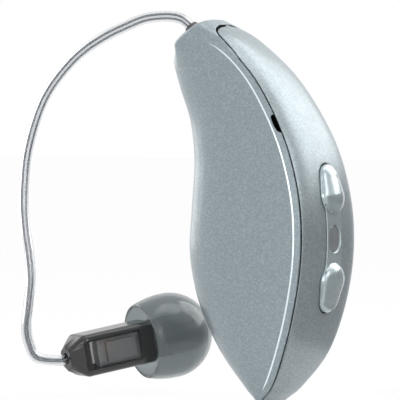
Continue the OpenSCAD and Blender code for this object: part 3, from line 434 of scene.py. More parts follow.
def rolled_edge(edge, before, inside, radius):
    """Rows of points that end a surface in a rolled edge, from radius before the edge a quarter turn round.

    The point at turn a is the edge, less radius (1 - sin a) along the surface, less radius (1 - cos a)
    square to it, towards the points inside.
    """
    normal = unit(np.cross(np.gradient(edge, axis=0), edge - before))
    normal *= np.sign((normal * (edge - inside)).sum(1))[:, None]
    way = edge - before
    way = way / np.maximum(np.linalg.norm(way, axis=-1, keepdims=True), 1e-9)
    return np.stack([edge - way * radius * (1 - math.sin(a)) - normal * radius * (1 - math.cos(a))
                     for a in (0, *ROLL_TURNS)], 1)


def case_rings(form, t, turn):
    """Half sections of the case at stations t, from the front to the seam, where turn degrees round an end.

    The columns are the side curve, the rounded crease, the slanted strip and, near the nose, a part of the
    arch. Returned are the sections, the depths and half widths of their points, and the share and reach for
    BodyForm.place.
    """
    s, f = form.s, form.at(t)
    for name, value in vars(f).items():
        setattr(f, name, value[:, None])
    whole = (turn != 0)[:, None] | (t[:, None] >= form.seam_end)
    along_slot = np.abs(t[:, None] - SLOT_T) * SLOT_PITCH / (s.slot_length / 2)
    notch = (s.slot_width - s.gap / 2) * np.sqrt(np.clip(1 - along_slot**4, 0, 1))
    depth_end = np.where(whole, 0, form.seam_depth(t[:, None], f) + s.gap / 2 + notch)
    # The side curve stops short of the crease by the fillet, which fades out at both ends of the body
    fillet = np.minimum(s.crease, f.crease * 0.2) * np.clip((f.fade - 0.66) * 2.9, 0.02, 1)
    flank = f.chord - f.crease
    u_side = np.linspace(0, 1, SIDE)[None] * (1 - fillet / (1.65 * flank))
    side = bezier([f.chord, f.chord, f.chord - form.belly * flank, f.crease], u_side)
    side_y = bezier([0 * f.half, f.half * form.cheek, f.half, f.half], u_side)
    # The crease is a curve from the side curve's end to the strip, on which w counts millimetres
    run = np.hypot(f.crease - f.cap, f.half - f.top)
    step = [(f.cap - f.crease) / run, (f.top - f.half) / run]
    v = np.linspace(0, 1, CREASE + 1)[None, 1:]
    turn_d = f.crease + ((1 - v)**2 + v**2 * step[0]) * fillet
    turn_y = f.half + v**2 * step[1] * fillet
    reach = np.clip((f.crease - depth_end) / (f.crease - f.cap), 0, 1) * run
    w = fillet + (reach - fillet) * np.linspace(0, 1, STRIP + 1)[None, 1:]
    strip_d, strip_y = f.crease + step[0] * w, f.half + step[1] * w
    # Where the seam lies higher than the strip's end, the section goes on over the arch
    u_end = np.where(depth_end < f.cap, form.arch_to(f, np.minimum(depth_end, f.cap)), 0)
    arch_d, arch_y = form.arch(f, u_end * np.linspace(0, 1, ARCH + 1)[None, 1:])
    arch_d = np.where(depth_end < f.cap, arch_d, strip_d[:, -1:])
    arch_y = np.where(depth_end < f.cap, arch_y, strip_y[:, -1:])
    depth = np.hstack([side, turn_d, strip_d, arch_d])
    y = np.hstack([side_y, turn_y, strip_y, arch_y])
    at_tip, angle = t < LAST / 2, np.radians(turn)
    first = np.radians(np.where(at_tip, TIP_TURN, NOSE_TURN))
    size = np.where(at_tip, s.tip_round, s.nose_round) * (turn != 0)
    share = (size * (np.cos(first) - np.cos(angle)))[:, None]
    move = (size * (np.sin(angle) - np.sin(first)) * np.where(at_tip, -1, 1))[:, None]
    return f, depth, y, share, move


def case_shell_mesh(form):
    """The case: sections from tip to nose that are open at the seam, with both ends rounded and closed.

    Beside the cover the seam's edge is rolled over. The inner surface is the same sections drawn in by the
    wall. Returned are the outer and inner points, the faces, and which points lie on the crease.
    """
    s = form.s
    # More stations near the ends of the side slot and near the seam's end
    near = np.array([0.5, 0.75, 0.88, 0.95, 0.99, 1.01, 1.06, 1.15]) * s.slot_length / 2 / SLOT_PITCH
    t_open = np.unique(np.concatenate([np.linspace(0, form.seam_end, 150), SLOT_T - near, [SLOT_T],
                                       SLOT_T + near, form.seam_end - np.geomspace(0.002, 0.12, 9)]))
    t_open = t_open[t_open < form.seam_end]

    def rings(t, turn):
        f, depth, y, share, move = case_rings(form, t, turn)
        inner_t = np.clip(t, 0.9, LAST - 0.9)
        g, deep, wide, _, _ = case_rings(form, inner_t, 0 * inner_t)
        k = (g.chord - 2 * s.wall) / g.chord
        return (form.place(f, depth, y, share, move),
                form.place(g, (deep - g.chord / 2) * k + g.chord / 2, wide * (1 - s.wall / g.half)))

    def both_sides(*halves):
        return tuple(np.concatenate([p[:, :0:-1] * [1, -1, 1], p], 1) for p in halves)

    # The open part, with three more columns that roll the seam's edge over
    points, inner = rings(t_open, 0 * t_open)
    edge = points[:, -1]
    far = np.linalg.norm(points[:, :-1] - edge[:, None], axis=2) > 0.04
    pick = far.shape[1] - 1 - np.argmax(far[:, ::-1], axis=1)
    roll = rolled_edge(edge, points[np.arange(len(points)), pick], points[:, 0], s.edge)
    points = np.concatenate([points[:, :-1], roll], 1)
    inner = np.concatenate([inner, np.repeat(inner[:, -1:], 3, 1)], 1)
    open_part = both_sides(points, inner)

    # The closed ends: the tip, and the nose with its end face and the bore behind it
    tip_turn = np.array([90, 86, 80, 73, 66, 59, 54, 49, TIP_TURN + 0.001])
    tip = both_sides(*rings(0 * tip_turn, tip_turn))
    tip = tuple(np.concatenate([p[:1].mean(1, keepdims=True) + 0 * p[:1], p]) for p in tip)
    nose_t = np.concatenate([np.linspace(form.seam_end, LAST, 4), np.full(11, LAST)])
    nose_turn = np.concatenate([np.zeros(4), [16, 22, 29, 37, 45, 53, 61, 69, 77, 84, 90]])
    nose, nose_in = both_sides(*rings(nose_t, nose_turn))
    up, mid, side = nose_axes(form)
    angle = np.arctan2(nose[-1, :, 1], (nose[-1] - mid) @ side)
    around = side * np.cos(angle)[:, None] + np.array([0, 1, 0]) * np.sin(angle)[:, None]
    bore, soft = 1.0, 0.06
    rows = [mid + around * r - up * h for r, h in (
        (bore + soft, 0), (bore + 0.3 * soft, 0.3 * soft), (bore, soft), (bore, 0.6), (bore, 1.6))]
    nose = np.concatenate([nose, rows]), np.concatenate([nose_in, [nose_in[-1]] * len(rows)])
    outer, inner, faces, on_crease, n = [], [], [], [], 0
    for p, q in (tip, open_part, nose):
        rows_n, cols_n = p.shape[:2]
        outer.append(p.reshape(-1, 3))
        inner.append(q.reshape(-1, 3))
        faces.append(grid_faces(rows_n, cols_n, first=n))
        column = np.abs(np.arange(cols_n) - cols_n // 2)
        on_crease.append(np.tile((column >= SIDE - 1) & (column < SIDE + CREASE), rows_n))
        n += rows_n * cols_n
    faces += stitches(*(len(p) for p in outer[:2]), *(p[0].shape[1] for p in (tip, open_part)))
    return np.vstack(outer), np.vstack(inner), np.vstack(faces), np.concatenate(on_crease)


def stitches(tip_points, open_points, cols, open_cols):
    """Faces that join the closed ends to the open part, whose rows have three more columns a side."""
    extra = (open_cols - cols) // 2
    c = np.arange(ARCH, cols - 1 - ARCH)
    a, b = tip_points - cols + c, tip_points + extra + c
    d = np.arange(cols - 1)
    e, g = tip_points + open_points - open_cols + extra + d, tip_points + open_points + d
    return [np.stack([a, a + 1, b + 1, b], 1), np.stack([e, e + 1, g + 1, g], 1)]


def nose_axes(form):
    """Direction out of the nose's end face, its middle, and the direction across it, towards the front."""
    f = form.at(LAST)
    up = np.array([f.inward[1], 0, -f.inward[0]])
    mid = (f.front + f.back) / 2
    out = form.s.nose_round * (1 - math.sin(math.radians(NOSE_TURN))) * 0.75
    return up, np.array([mid[0], 0, mid[1]]) + up * out, np.array([f.inward[0], 0, f.inward[1]])


# ---------------------------------------------------------------- finishes

def new_material(name):
    """A material with an empty node tree but its output, and helpers to add and join nodes."""
    old = bpy.data.materials.get(name)
    if old is not None:
        bpy.data.materials.remove(old)
    mat = bpy.data.materials.new(name)
    mat.use_nodes = True
    mat.node_tree.nodes.clear()
    out = mat.node_tree.nodes.new("ShaderNodeOutputMaterial")
    return mat, mat.node_tree.nodes, mat.node_tree.links, out


def node_group(name, fill, ins, outs):
    """The node group of that name; where it is new, it gets its sockets and fill adds its nodes.

    An input is (name, kind, default), an output (name, kind).
    """
    tree = bpy.data.node_groups.get(name)
    if tree is None:
        tree = bpy.data.node_groups.new(name, "ShaderNodeTree")
        for label, kind, value in ins:
            tree.interface.new_socket(name=label, in_out="INPUT", socket_type=kind).default_value = value
        for label, kind in outs:
            tree.interface.new_socket(name=label, in_out="OUTPUT", socket_type=kind)
        fill(tree.nodes, tree.links, tree.nodes.new("NodeGroupInput"), tree.nodes.new("NodeGroupOutput"))
    return tree


def fill_flecks(n, l, i, o):
    """Metallic flecks: a fine cell pattern that mixes two colours and tilts the surface a little.

    The fleck's share is Amount times a cell's first random value, counted from 0.35 up. The second value is
    the height.
    """
    co, cell = n.new("ShaderNodeTexCoord"), n.new("ShaderNodeTexVoronoi")
    cell.feature = "F1"
    l.new(co.outputs["Object"], cell.inputs["Vector"])
    l.new(i.outputs["Scale"], cell.inputs["Scale"])
    tone, rare = n.new("ShaderNodeSeparateColor"), n.new("ShaderNodeMapRange")
    l.new(cell.outputs["Color"], tone.inputs["Color"])
    rare.inputs["From Min"].default_value = 0.35
    l.new(tone.outputs["Red"], rare.inputs["Value"])
    power, mix = n.new("ShaderNodeMath"), n.new("ShaderNodeMix")
    power.operation = "MULTIPLY"
    l.new(rare.outputs["Result"], power.inputs[0])
    l.new(i.outputs["Amount"], power.inputs[1])
    mix.data_type = "RGBA"
    l.new(power.outputs[0], mix.inputs["Factor"])
    l.new(i.outputs["Paint"], mix.inputs["A"])
    l.new(i.outputs["Fleck"], mix.inputs["B"])
    l.new(mix.outputs["Result"], o.inputs["Color"])
    l.new(tone.outputs["Green"], o.inputs["Height"])


def fill_grain(n, l, i, o):
    """Grain of moulded plastic: fine noise gives the height, and coarse noise a roughness from Low to High."""
    co, less, span = n.new("ShaderNodeTexCoord"), n.new("ShaderNodeMath"), n.new("ShaderNodeMapRange")
    fine, slow = n.new("ShaderNodeTexNoise"), n.new("ShaderNodeTexNoise")
    less.operation = "MULTIPLY"
    less.inputs[1].default_value = 0.12
    l.new(i.outputs["Scale"], less.inputs[0])
    for tex, scale in ((fine, i.outputs["Scale"]), (slow, less.outputs[0])):
        l.new(co.outputs["Object"], tex.inputs["Vector"])
        l.new(scale, tex.inputs["Scale"])
        tex.inputs["Detail"].default_value = 3
    span.inputs["From Min"].default_value, span.inputs["From Max"].default_value = 0.35, 0.65
    l.new(slow.outputs["Fac"], span.inputs["Value"])
    l.new(i.outputs["Low"], span.inputs["To Min"])
    l.new(i.outputs["High"], span.inputs["To Max"])
    l.new(span.outputs["Result"], o.inputs["Roughness"])
    l.new(fine.outputs["Fac"], o.inputs["Height"])


def fleck_group():
    """The flecks of the metallic paints, as one group for them all."""
    return node_group("Paint flecks", fill_flecks, [
        ("Paint", "NodeSocketColor", (0.3, 0.3, 0.3, 1)), ("Fleck", "NodeSocketColor", (0.5, 0.5, 0.5, 1)),
        ("Scale", "NodeSocketFloat", 9000), ("Amount", "NodeSocketFloat", 0.5)],
        [("Color", "NodeSocketColor"), ("Height", "NodeSocketFloat")])


def grain_group():
    """The grain of all finishes, as one group for them all."""
    return node_group("Moulded grain", fill_grain, [
        ("Scale", "NodeSocketFloat", 3000), ("Low", "NodeSocketFloat", 0.2), ("High", "NodeSocketFloat", 0.3)],
        [("Roughness", "NodeSocketFloat"), ("Height", "NodeSocketFloat")])


def add_group(nodes, tree, **values):
    """A node that places a group, with values on its inputs."""
    node = nodes.new("ShaderNodeGroup")
    node.node_tree = tree
    for name, value in values.items():
        node.inputs[name].default_value = value
    return node


def bumped(nodes, links, height, shader, strength, distance):
    """A bump in metres on the shader's normal."""
    bump = nodes.new("ShaderNodeBump")
    bump.inputs["Strength"].default_value = strength
    bump.inputs["Distance"].default_value = distance
    links.new(height, bump.inputs["Height"])
    links.new(bump.outputs["Normal"], shader.inputs["Normal"])


def set_sockets(shader, values):
    """Plain values on the shader's own sockets."""
    for name, value in values.items():
        shader.inputs[name].default_value = value


def paint(name, base, fleck, amount=0.5, roughness=0.35, metallic=0.45, coat=0.35, coat_rough=0.12):
    """Metallic lacquer: flecked metallic base under a clear coat."""
    mat, n, l, out = new_material(name)
    shader = n.new("ShaderNodeBsdfPrincipled")
    l.new(shader.outputs[0], out.inputs["Surface"])
    flecks = add_group(n, fleck_group(), Paint=base, Fleck=fleck, Scale=9500.0, Amount=amount)
    l.new(flecks.outputs["Color"], shader.inputs["Base Color"])
    grain = add_group(n, grain_group(), Scale=4000.0, Low=roughness - 0.03, High=roughness + 0.03)
    l.new(grain.outputs["Roughness"], shader.inputs["Roughness"])
    set_sockets(shader, {"Metallic": metallic, "Coat Weight": coat, "Coat Roughness": coat_rough})
    bumped(n, l, flecks.outputs["Height"], shader, 0.25, 0.000004)
    return mat


def plastic(name, base, rough=(0.3, 0.4), height=0.000004, values=None):
    """Moulded plastic, metal or silicone with a fine grain; values set the shader's other sockets."""
    mat, n, l, out = new_material(name)
    shader = n.new("ShaderNodeBsdfPrincipled")
    l.new(shader.outputs[0], out.inputs["Surface"])
    set_sockets(shader, {"Base Color": base, **(values or {})})
    grain = add_group(n, grain_group(), Scale=3000.0, Low=rough[0], High=rough[1])
    l.new(grain.outputs["Roughness"], shader.inputs["Roughness"])
    bumped(n, l, grain.outputs["Height"], shader, 0.3, height)
    return mat


def grey(level, warm=0.0):
    """A grey from its display level, 0 to 255, as linear colour with alpha."""
    c = level / 255
    c = ((c + 0.055) / 1.055) ** 2.4
    return (c * (1 + warm), c, c * (1 - warm), 1.0)


FINISHES = {}


def finish(name):
    """A finish made before, by name."""
    if name not in FINISHES:
        raise RuntimeError(f"the finish {name} has not been made")
    return FINISHES[name]


class AID_OT_finishes(bpy.types.Operator):
    """Makes the paints, plastics, metals and silicones"""

    bl_idname = "aid.finishes"
    bl_label = "Make Finishes"

    def execute(self, context):
        c = colours()
        glass = {"Transmission Weight": 1.0, "IOR": 1.45}
        metal, dull = {"Metallic": 1.0}, {"Specular IOR Level": 0.1}
        FINISHES.update({
            "paint": paint("Body paint", c.paint, c.fleck, coat=0.5, coat_rough=0.08),
            # Painted highlight: a near-white, mirror-like paint on the crease's fillet stands in for the line
            # of light along it.
            "crease": paint("Painted crease highlight", c.edge, c.edge, roughness=0.18, metallic=0.95, coat=1.0,
                            coat_rough=0.05),
            "cover": paint("Cover paint", c.cover, c.fleck, coat=0.08, coat_rough=0.3),
            "key": paint("Rocker paint", c.key, c.fleck, amount=0.2, roughness=0.26, metallic=0.5, coat=1.0,
                         coat_rough=0.16),
            # Near black as painted shade: the shells' rims in the seam and the slot take this plastic.
            "inside": plastic("Bare shell plastic and painted shade", c.inside, (0.7, 0.8), values=dull),
            "lens": plastic("Smoked window", c.lens, (0.08, 0.14), values={
                "Transmission Weight": 0.35, "IOR": 1.49}),
            "smoke": plastic("Smoked housing", c.smoke, (0.06, 0.12), values=glass),
            # Partly painted shade: the housing's ends are really dark plastic, while its top and bottom faces
            # take this finish as shade.
            "smoke_dark": plastic("Dark smoked housing and painted shade", grey(52), (0.12, 0.2)),
            "dome": plastic("Soft dome silicone", c.dome, (0.12, 0.2), values={
                "Transmission Weight": 0.8, "IOR": 1.12, "Coat Weight": 0.6, "Coat Roughness": 0.15}),
            "tube": plastic("Clear tube", c.tube, (0.02, 0.03), height=0, values=glass),
            "wire": plastic("Tinned wire", c.wire, (0.25, 0.35), height=0, values={"Metallic": 0.3}),
            "rubber": plastic("Seal rubber", grey(16), (0.7, 0.8), values=dull),
            "black": plastic("Black plastic", grey(112), (0.4, 0.5)),
            "frame": plastic("Frame plastic", grey(50), (0.4, 0.55)),
            "cell": plastic("Cell metal", grey(180), (0.25, 0.35), values=metal),
            "nickel": plastic("Nickel", grey(190, 0.03), (0.25, 0.35), values=metal),
            "steel": plastic("Steel", grey(190), (0.3, 0.4), values=metal),
            "gold": plastic("Gold plating", (0.72, 0.5, 0.22, 1), (0.2, 0.3), values=metal),
            "copper": plastic("Copper", (0.6, 0.3, 0.17, 1), (0.3, 0.4), values=metal),
            "board": plastic("Board lacquer", (0.02, 0.12, 0.05, 1), (0.3, 0.4)),
            "chip": plastic("Chip body", grey(38), (0.4, 0.5)),
            "ceramic": plastic("Ceramic", (0.35, 0.25, 0.15, 1), (0.4, 0.5)),
            "film": plastic("Amber film", (0.45, 0.2, 0.03, 1), (0.2, 0.3)),
            "lamp": plastic("Lamp resin", (0.7, 0.7, 0.5, 1), (0.2, 0.3)),
            "motor": plastic("Motor can", grey(236), (0.35, 0.45), values={"Metallic": 0.2}),
            "cradle": plastic("Cradle", grey(226), (0.4, 0.5)),
            "spout": plastic("Spout plastic", grey(84), (0.35, 0.45)),
            "guard": plastic("Guard plastic", grey(235), (0.3, 0.4)),
            "socket": plastic("Socket plastic", grey(40), (0.35, 0.5)),
            "plug": plastic("Plug plastic", grey(82), (0.25, 0.35)),
            "screen": plastic("Screen mesh", grey(24), (0.5, 0.7)),
        })
        return {"FINISHED"}


# The finish of each CAD node that no piece replaces
NODE_FINISHES = {
    "seam_gasket": "rubber", "inner_frame": "frame", "battery_cell": "cell", "battery_tabs": "nickel",
    "main_board": "board", "signal_processor": "chip", "radio_chip": "chip", "charge_chip": "chip",
    "capacitors": "ceramic", "telecoil": "copper", "antenna_strip": "copper", "control_flex": "film",
    "upper_switch": "steel", "lower_switch": "steel", "status_led": "lamp", "rocker_pin": "steel",
    "charge_pads": "gold", "charge_flex": "film", "front_microphone": "gold", "rear_microphone": "gold",
    "front_mic_boot": "rubber", "rear_mic_boot": "rubber", "mic_screens": "screen",
    "receiver_socket": "socket", "socket_contacts": "gold", "motor_cradle": "cradle",
    "sound_spout": "spout", "wax_guard": "guard",
}


class AID_OT_inner_parts(bpy.types.Operator):
    """Gives the CAD nodes that stay their finishes"""

    bl_idname = "aid.inner_parts"
    bl_label = "Finish Inner Parts"

    def execute(self, context):
        for node, name in NODE_FINISHES.items():
            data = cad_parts[node].data
            data.materials.clear()
            data.materials.append(finish(name))
        return {"FINISHED"}


class AID_OT_case_shell(bpy.types.Operator):
    """Builds the case, from the tip round the hollow front edge to the nose"""

    bl_idname = "aid.case_shell"
    bl_label = "Build Case"

    def execute(self, context):
        outer, inner, faces, on_crease = case_shell_mesh(BodyForm())
        points, faces, kinds = walled(outer, inner, faces)
        # The faces on the crease's fillet get the painted highlight.
        painted_crease_highlight = points_in(points, outer[on_crease])[faces].all(1) & (kinds == 0)
        faces = outward(points, faces)
        # The rims take the inner plastic, whose near-black colour paints the shade in the seam line and the
        # side slot.
        put_mesh("case_shell", points, faces, "paint inside crease", "aid_body", "case_paint", "case_tub",
                 np.where(painted_crease_highlight, 2, np.minimum(kinds, 1)))
        return {"FINISHED"}


# ---------------------------------------------------------------- the cover and its rocker

class RockerForm:
    """The rocker's arc and outline: s is the length along the arc, y is across and h is out of the spine.

    The arc goes through the spine at the station middle_t and at reach_t to both sides. A bump's small
    circle is taper times its big one.
    """

    middle_t, reach_t, taper = 4.4, 1.46, 0.78

    def __init__(self, form):
        self.k = sizes("aid_rocker")
        k, t = self.k, self.middle_t
        a, b, c = (form.at(x).back for x in (t - self.reach_t, t, t + self.reach_t))
        m = 2 * np.array([b - a, c - b])
        self.mid = np.linalg.solve(m, [b @ b - a @ a, c @ c - b @ b])
        self.r = float(np.linalg.norm(b - self.mid))
        self.tilt = math.atan2(*(b - self.mid)[::-1])
        self.bump_at = (k.length - k.bump_length) / 2
        self.big = k.bump_width / 2
        self.small = self.big * self.taper
        self.big_at, self.small_at = -(k.bump_length / 2 - self.big), k.bump_length / 2 - self.small
        self.lean = math.asin((self.big - self.small) / (self.small_at - self.big_at))
        ts = np.linspace(1.5, 7.5, 601)
        place = form.at(ts).back - self.mid
        self.table = (np.arctan2(place[:, 1], place[:, 0]) - self.tilt) * self.r, ts

    def station(self, s):
        """The body's station over the length s along the arc."""
        return np.interp(s, *self.table)

    def length_at(self, t):
        """The length along the arc under station t."""
        return np.interp(t, self.table[1], self.table[0])

    def place(self, s, y, h):
        """Points at the length s, across y and out h from the arc."""
        a = self.tilt + s / self.r
        x, z = self.mid[0] + (self.r + h) * np.cos(a), self.mid[1] + (self.r + h) * np.sin(a)
        return np.stack([x, y + 0 * a, z], -1)

    def half_width(self, s, extra=0.0):
        """Half width of the outline: a strip and, at each end, a big and a small circle drawn together."""
        x = np.abs(s) - self.bump_at - self.big_at
        big, strip = self.big + extra, self.k.strip / 2 + extra
        line = (big - x * math.sin(self.lean)) / math.cos(self.lean)
        bump = np.where(x < big * math.sin(self.lean), np.sqrt(np.clip(big**2 - x**2, 0, None)), line)
        return (bump + strip + np.sqrt((bump - strip)**2 + 0.02)) / 2

    def cap_radius(self, turn, extra=0.0):
        """How far the outline lies from the small circle's middle, at a turn from the arc's direction."""
        return (self.small + extra) / np.cos(np.clip(turn - math.pi / 2 + self.lean, 0, None))

    def outline(self, n):
        """Points [s, y] of a quarter of the outline, evenly from its end to its middle, and their shares."""
        end = self.bump_at + self.small_at
        a = np.linspace(0, math.pi / 2, 60)
        cap = np.stack([np.cos(a), np.sin(a)], 1) * self.cap_radius(a)[:, None] + [end, 0]
        s = np.linspace(end, 0, 400)[1:]
        cap[:, 1] *= self.half_width(s[0]) / cap[-1, 1]
        run = np.vstack([cap, np.stack([s, self.half_width(s)], 1)])
        way = np.concatenate([[0], np.cumsum(np.linalg.norm(np.diff(run, axis=0), axis=1))])
        at = np.linspace(0, way[-1], n)
        return np.stack([np.interp(at, way, run[:, 0]), np.interp(at, way, run[:, 1])], 1), at / way[-1]

    def rise(self, s, y):
        """Height of the two bumps, each a big and a small ball drawn together, over the strip.

        The height is bump_height sqrt(1 - q), less towards the small ball, where q is the square of the
        distance from the middle line over the ball's radius there, and runs softly out to nothing.
        """
        x = np.abs(s) - self.bump_at
        u = np.clip((x - self.big_at) / (self.small_at - self.big_at), 0, 1)
        r = self.big + (self.small - self.big) * u
        q = (np.minimum(x - self.big_at, 0)**2 + np.maximum(x - self.small_at, 0)**2 + y**2) / r**2
        top = self.k.bump_height * (1 + (self.taper - 1) * u) * np.sqrt(np.clip(1 - q, 0, None))
        return (top + np.sqrt(top**2 + 0.0016)) / 2 - 0.02


def all_round(quarter):
    """A quarter [s, y], from its end to its middle, mirrored to the whole loop without doubled points."""
    q = quarter
    return np.vstack([q, (q * [-1, 1])[-2::-1], (q * [-1, -1])[1:], (q * [1, -1])[-2:0:-1]])


def key_mesh(rocker):
    """The rocker: loops from the window's floor up its wall, out over the bumps and back underneath."""
    k = rocker.k
    room, soft, sunk, under = 0.025, 0.05, 0.37, 0.06
    quarter_edge, share = rocker.outline(49)
    edge = all_round(quarter_edge)
    flat, r = (k.window_length - k.window_width) / 2, k.window_width / 2 + room
    bend = r * math.pi / 2
    way = (0.25 * share + 0.75 * share**4) * (bend + flat)
    turn = np.minimum(way, bend) / r
    window = all_round(np.stack([flat - np.maximum(way - bend, 0) + r * np.cos(turn), r * np.sin(turn)], 1))
    along = np.gradient(np.vstack([edge[-1:], edge, edge[:1]]), axis=0)[1:-1]
    normal = unit(np.stack([along[:, 1], -along[:, 0]], 1))
    normal *= np.sign((normal * (edge - edge * [0.8, 0])).sum(1))[:, None]
    share = np.sin(np.linspace(0, 1, 100) * math.pi / 2)[:, None, None]
    s, y = np.moveaxis(window * 1.04 * (1 - share) + (edge - normal * soft) * share, -1, 0)
    top, floor, low = k.proud, k.proud - sunk, k.proud - k.thick
    inner = [(window * 0, floor), (window * 0.5, floor), (window, floor), (window, top - soft)]
    outer = [(edge - normal * 0.015, top - 0.015), (edge, top - soft), (edge, low + under),
             (edge - normal * under, low), (edge * 0.5, low), (edge * 0, low)]
    inner, outer = ([rocker.place(*p.T, h) for p, h in loops] for loops in (inner, outer))
    return ring_mesh([*inner, *rocker.place(s, y, top + rocker.rise(s, y)), *outer])


class AID_OT_rocker(bpy.types.Operator):
    """Builds the rocker with its two bumps, and the window in it"""

    bl_idname = "aid.rocker"
    bl_label = "Build Rocker"

    def execute(self, context):
        rocker = RockerForm(BodyForm())
        put_mesh("rocker_keys", *key_mesh(rocker), "key", "rocker", "rocker_paint", "rocker")
        k = rocker.k
        flat = (k.window_length - k.window_width) / 2
        loop = circle(96)
        loop = loop * k.window_width / 2 + np.sign(loop) * [flat, 0]
        arched = [(0, 0.05), (0.3, 0.048), (0.6, 0.035), (0.85, 0.01), (0.95, -0.01), (0.985, -0.03),
                  (1, -0.07)]
        under = [(share, -0.25) for share in (1, 0.5, 0)]
        top = k.proud - 0.12
        lens = ring_mesh([rocker.place(*(loop * share).T, top + h) for share, h in arched + under])
        put_mesh("window_lens", *lens, "lens", "rocker", "smoked_lens", "light_window")
        return {"FINISHED"}


def cover_mesh(form, rocker):
    """The cover: a net over the arch, in which rings run from a block's border to the pocket of the rocker.

    The pocket's edge is rolled over, its wall goes straight down, and its floor closes along its middle
    line. The block lies between two rows of the net, and reaches as far to both sides of the spine.
    """
    s = form.s
    first, last, aside = 35, 108, 14
    block = np.linspace(2.42, 6.42, last - first + 1)
    t = np.concatenate([np.linspace(0, block[0], first + 1)[:-1], block,
                        np.linspace(block[-1], form.seam_end - 0.1, 52)[1:],
                        form.seam_end - np.geomspace(0.09, 0.05, 8)])
    f = form.at(t)
    # The cover's edge lies half a gap over the seam, and a little more beside the nose
    x = np.clip((t - form.seam_turn) / (form.seam_end - form.seam_turn), 0, 1)
    wider = 0.12 * np.clip((x - 0.80) / 0.20, 0, 1)
    edge_depth = np.maximum(form.seam_depth(t, f) - s.gap / 2 - wider * f.crown, 0.004)
    half = form.arch(f, form.arch_to(f, edge_depth))[1]
    v = np.linspace(-1, 1, 57)
    y = half[:, None] * np.sign(v) * (1 - (1 - np.abs(v))**1.35)
    outer = form.over_spine(t[:, None] + 0 * y, y)
    inner = form.over_spine(t[:, None] + 0 * y, y * 0.94, s.wall)
    left = rolled_edge(outer[:, 0], outer[:, 1], inner[:, 0], s.edge)
    right = rolled_edge(outer[:, -1], outer[:, -2], inner[:, -1], s.edge)
    outer = np.concatenate([left[:, ::-1], outer[:, 1:-1], right], 1)
    inner = np.concatenate([np.repeat(inner[:, :1], 3, 1), inner, np.repeat(inner[:, -1:], 3, 1)], 1)
    rows, cols = outer.shape[:2]
    # Rings take the place of the block's faces, and are joined to its border
    j0, j1 = cols // 2 - aside, cols // 2 + aside
    faces = grid_faces(rows, cols)
    r, c = np.divmod(faces[:, 0], cols)
    faces = faces[~((r >= first) & (r < last) & (c >= j0) & (c < j1))]
    r, c = np.arange(first, last), np.arange(j0, j1)
    r, c = (np.concatenate([r, last + 0 * c, r[::-1] + 1, first + 0 * c]),
            np.concatenate([j0 + 0 * r, c, j1 + 0 * r, c[::-1] + 1]))
    border = np.stack([rocker.length_at(t[r]), y[r, c - 3]], 1)
    at = r * cols + c
    rings, under, deep = pocket_rings(rocker, border, s)
    stations = rocker.station(rings[..., 0])
    ring_out, ring_in = (form.over_spine(stations, rings[..., 1], d) for d in (under, deep))
    n, m = rows * cols, len(border)
    i = np.arange(m)
    join = np.stack([n + i, n + (i + 1) % m, np.roll(at, -1), at], 1)
    return (np.vstack([outer.reshape(-1, 3), ring_out.reshape(-1, 3)]),
            np.vstack([inner.reshape(-1, 3), ring_in.reshape(-1, 3)]),
            np.vstack([faces, join, grid_faces(len(rings), m, wrap=True, first=n)[:, ::-1]]))


def pocket_rings(rocker, border, s):
    """Rings [s, y] from a border to the pocket, down its wall and over its floor, and their two depths.

    The pocket's outline is the rocker's, grown by the gap. The first depth is that of the cover's outer
    side, the second that of its inner side, which is thicker under the pocket.
    """
    k = rocker.k
    sb, yb = border.T
    reach = rocker.bump_at + rocker.small_at
    sm = np.clip(sb, -reach, reach)
    a = np.arctan2(np.abs(yb), np.abs(sb) - reach)
    over = np.abs(sb) > reach
    cap = rocker.cap_radius(a, k.gap)
    scale = rocker.half_width(reach, k.gap) / rocker.cap_radius(math.pi / 2, k.gap)
    half = np.where(over, cap * np.sin(a) * scale, rocker.half_width(sb, k.gap))
    out = np.stack([np.where(over, sm + np.sign(sb) * cap * np.cos(a), sb), np.sign(yb) * half], 1)
    away, middle = unit(border - out), np.stack([sm, 0 * sm], 1)
    thicker, soft, wall_row = 0.55, 0.05, 0.4
    shares = np.linspace(0, 1, 13)[1:] ** 0.8
    rings = [(border * (1 - u) + (out + away * s.edge) * u, 0, s.wall + thicker * (i + 1) / len(shares))
             for i, u in enumerate(shares)]
    rows = [(out + away * s.edge * (1 - math.sin(a)), s.edge * (1 - math.cos(a))) for a in ROLL_TURNS]
    rows += [(out, wall_row), (out, k.pocket - soft), (out - away * soft, k.pocket)]
    rows += [(out * (1 - u) + middle * u, k.pocket) for u in (0.5, 1.0)]
    rings += [(ring, depth, s.wall + thicker) for ring, depth in rows]
    rings, under, deep = zip(*rings)
    return np.stack(rings), np.array(under)[:, None], np.array(deep)[:, None]


class AID_OT_cover_shell(bpy.types.Operator):
    """Builds the spine cover with the pocket of the rocker"""

    bl_idname = "aid.cover_shell"
    bl_label = "Build Cover"

    def execute(self, context):
        form = BodyForm()
        points, faces, kinds = walled(*cover_mesh(form, RockerForm(form)))
        faces = outward(points, faces)
        # The rims take the inner plastic, whose near-black colour paints the shade in the seam line.
        put_mesh("cover_shell", points, faces, "cover inside", "aid_body", "cover_paint", "spine_cover",
                 np.minimum(kinds, 1))
        return {"FINISHED"}


# ---------------------------------------------------------------- pieces of revolution and sweeps

def rounded_profile(corners, cuts, steps=5):
    """A closed outline whose corners are rounded: at each, a curve from cut before it to cut after it."""
    p = np.asarray(corners, float)
    cut = np.asarray(cuts, float)[:, None]
    a = p + unit(np.roll(p, 1, 0) - p) * cut
    b = p + unit(np.roll(p, -1, 0) - p) * cut
    u = np.linspace(0, 1, steps)[None, :, None]
    curve = (1 - u)**2 * a[:, None] + 2 * u * (1 - u) * p[:, None] + u * u * b[:, None]
    return curve.reshape(-1, 2)


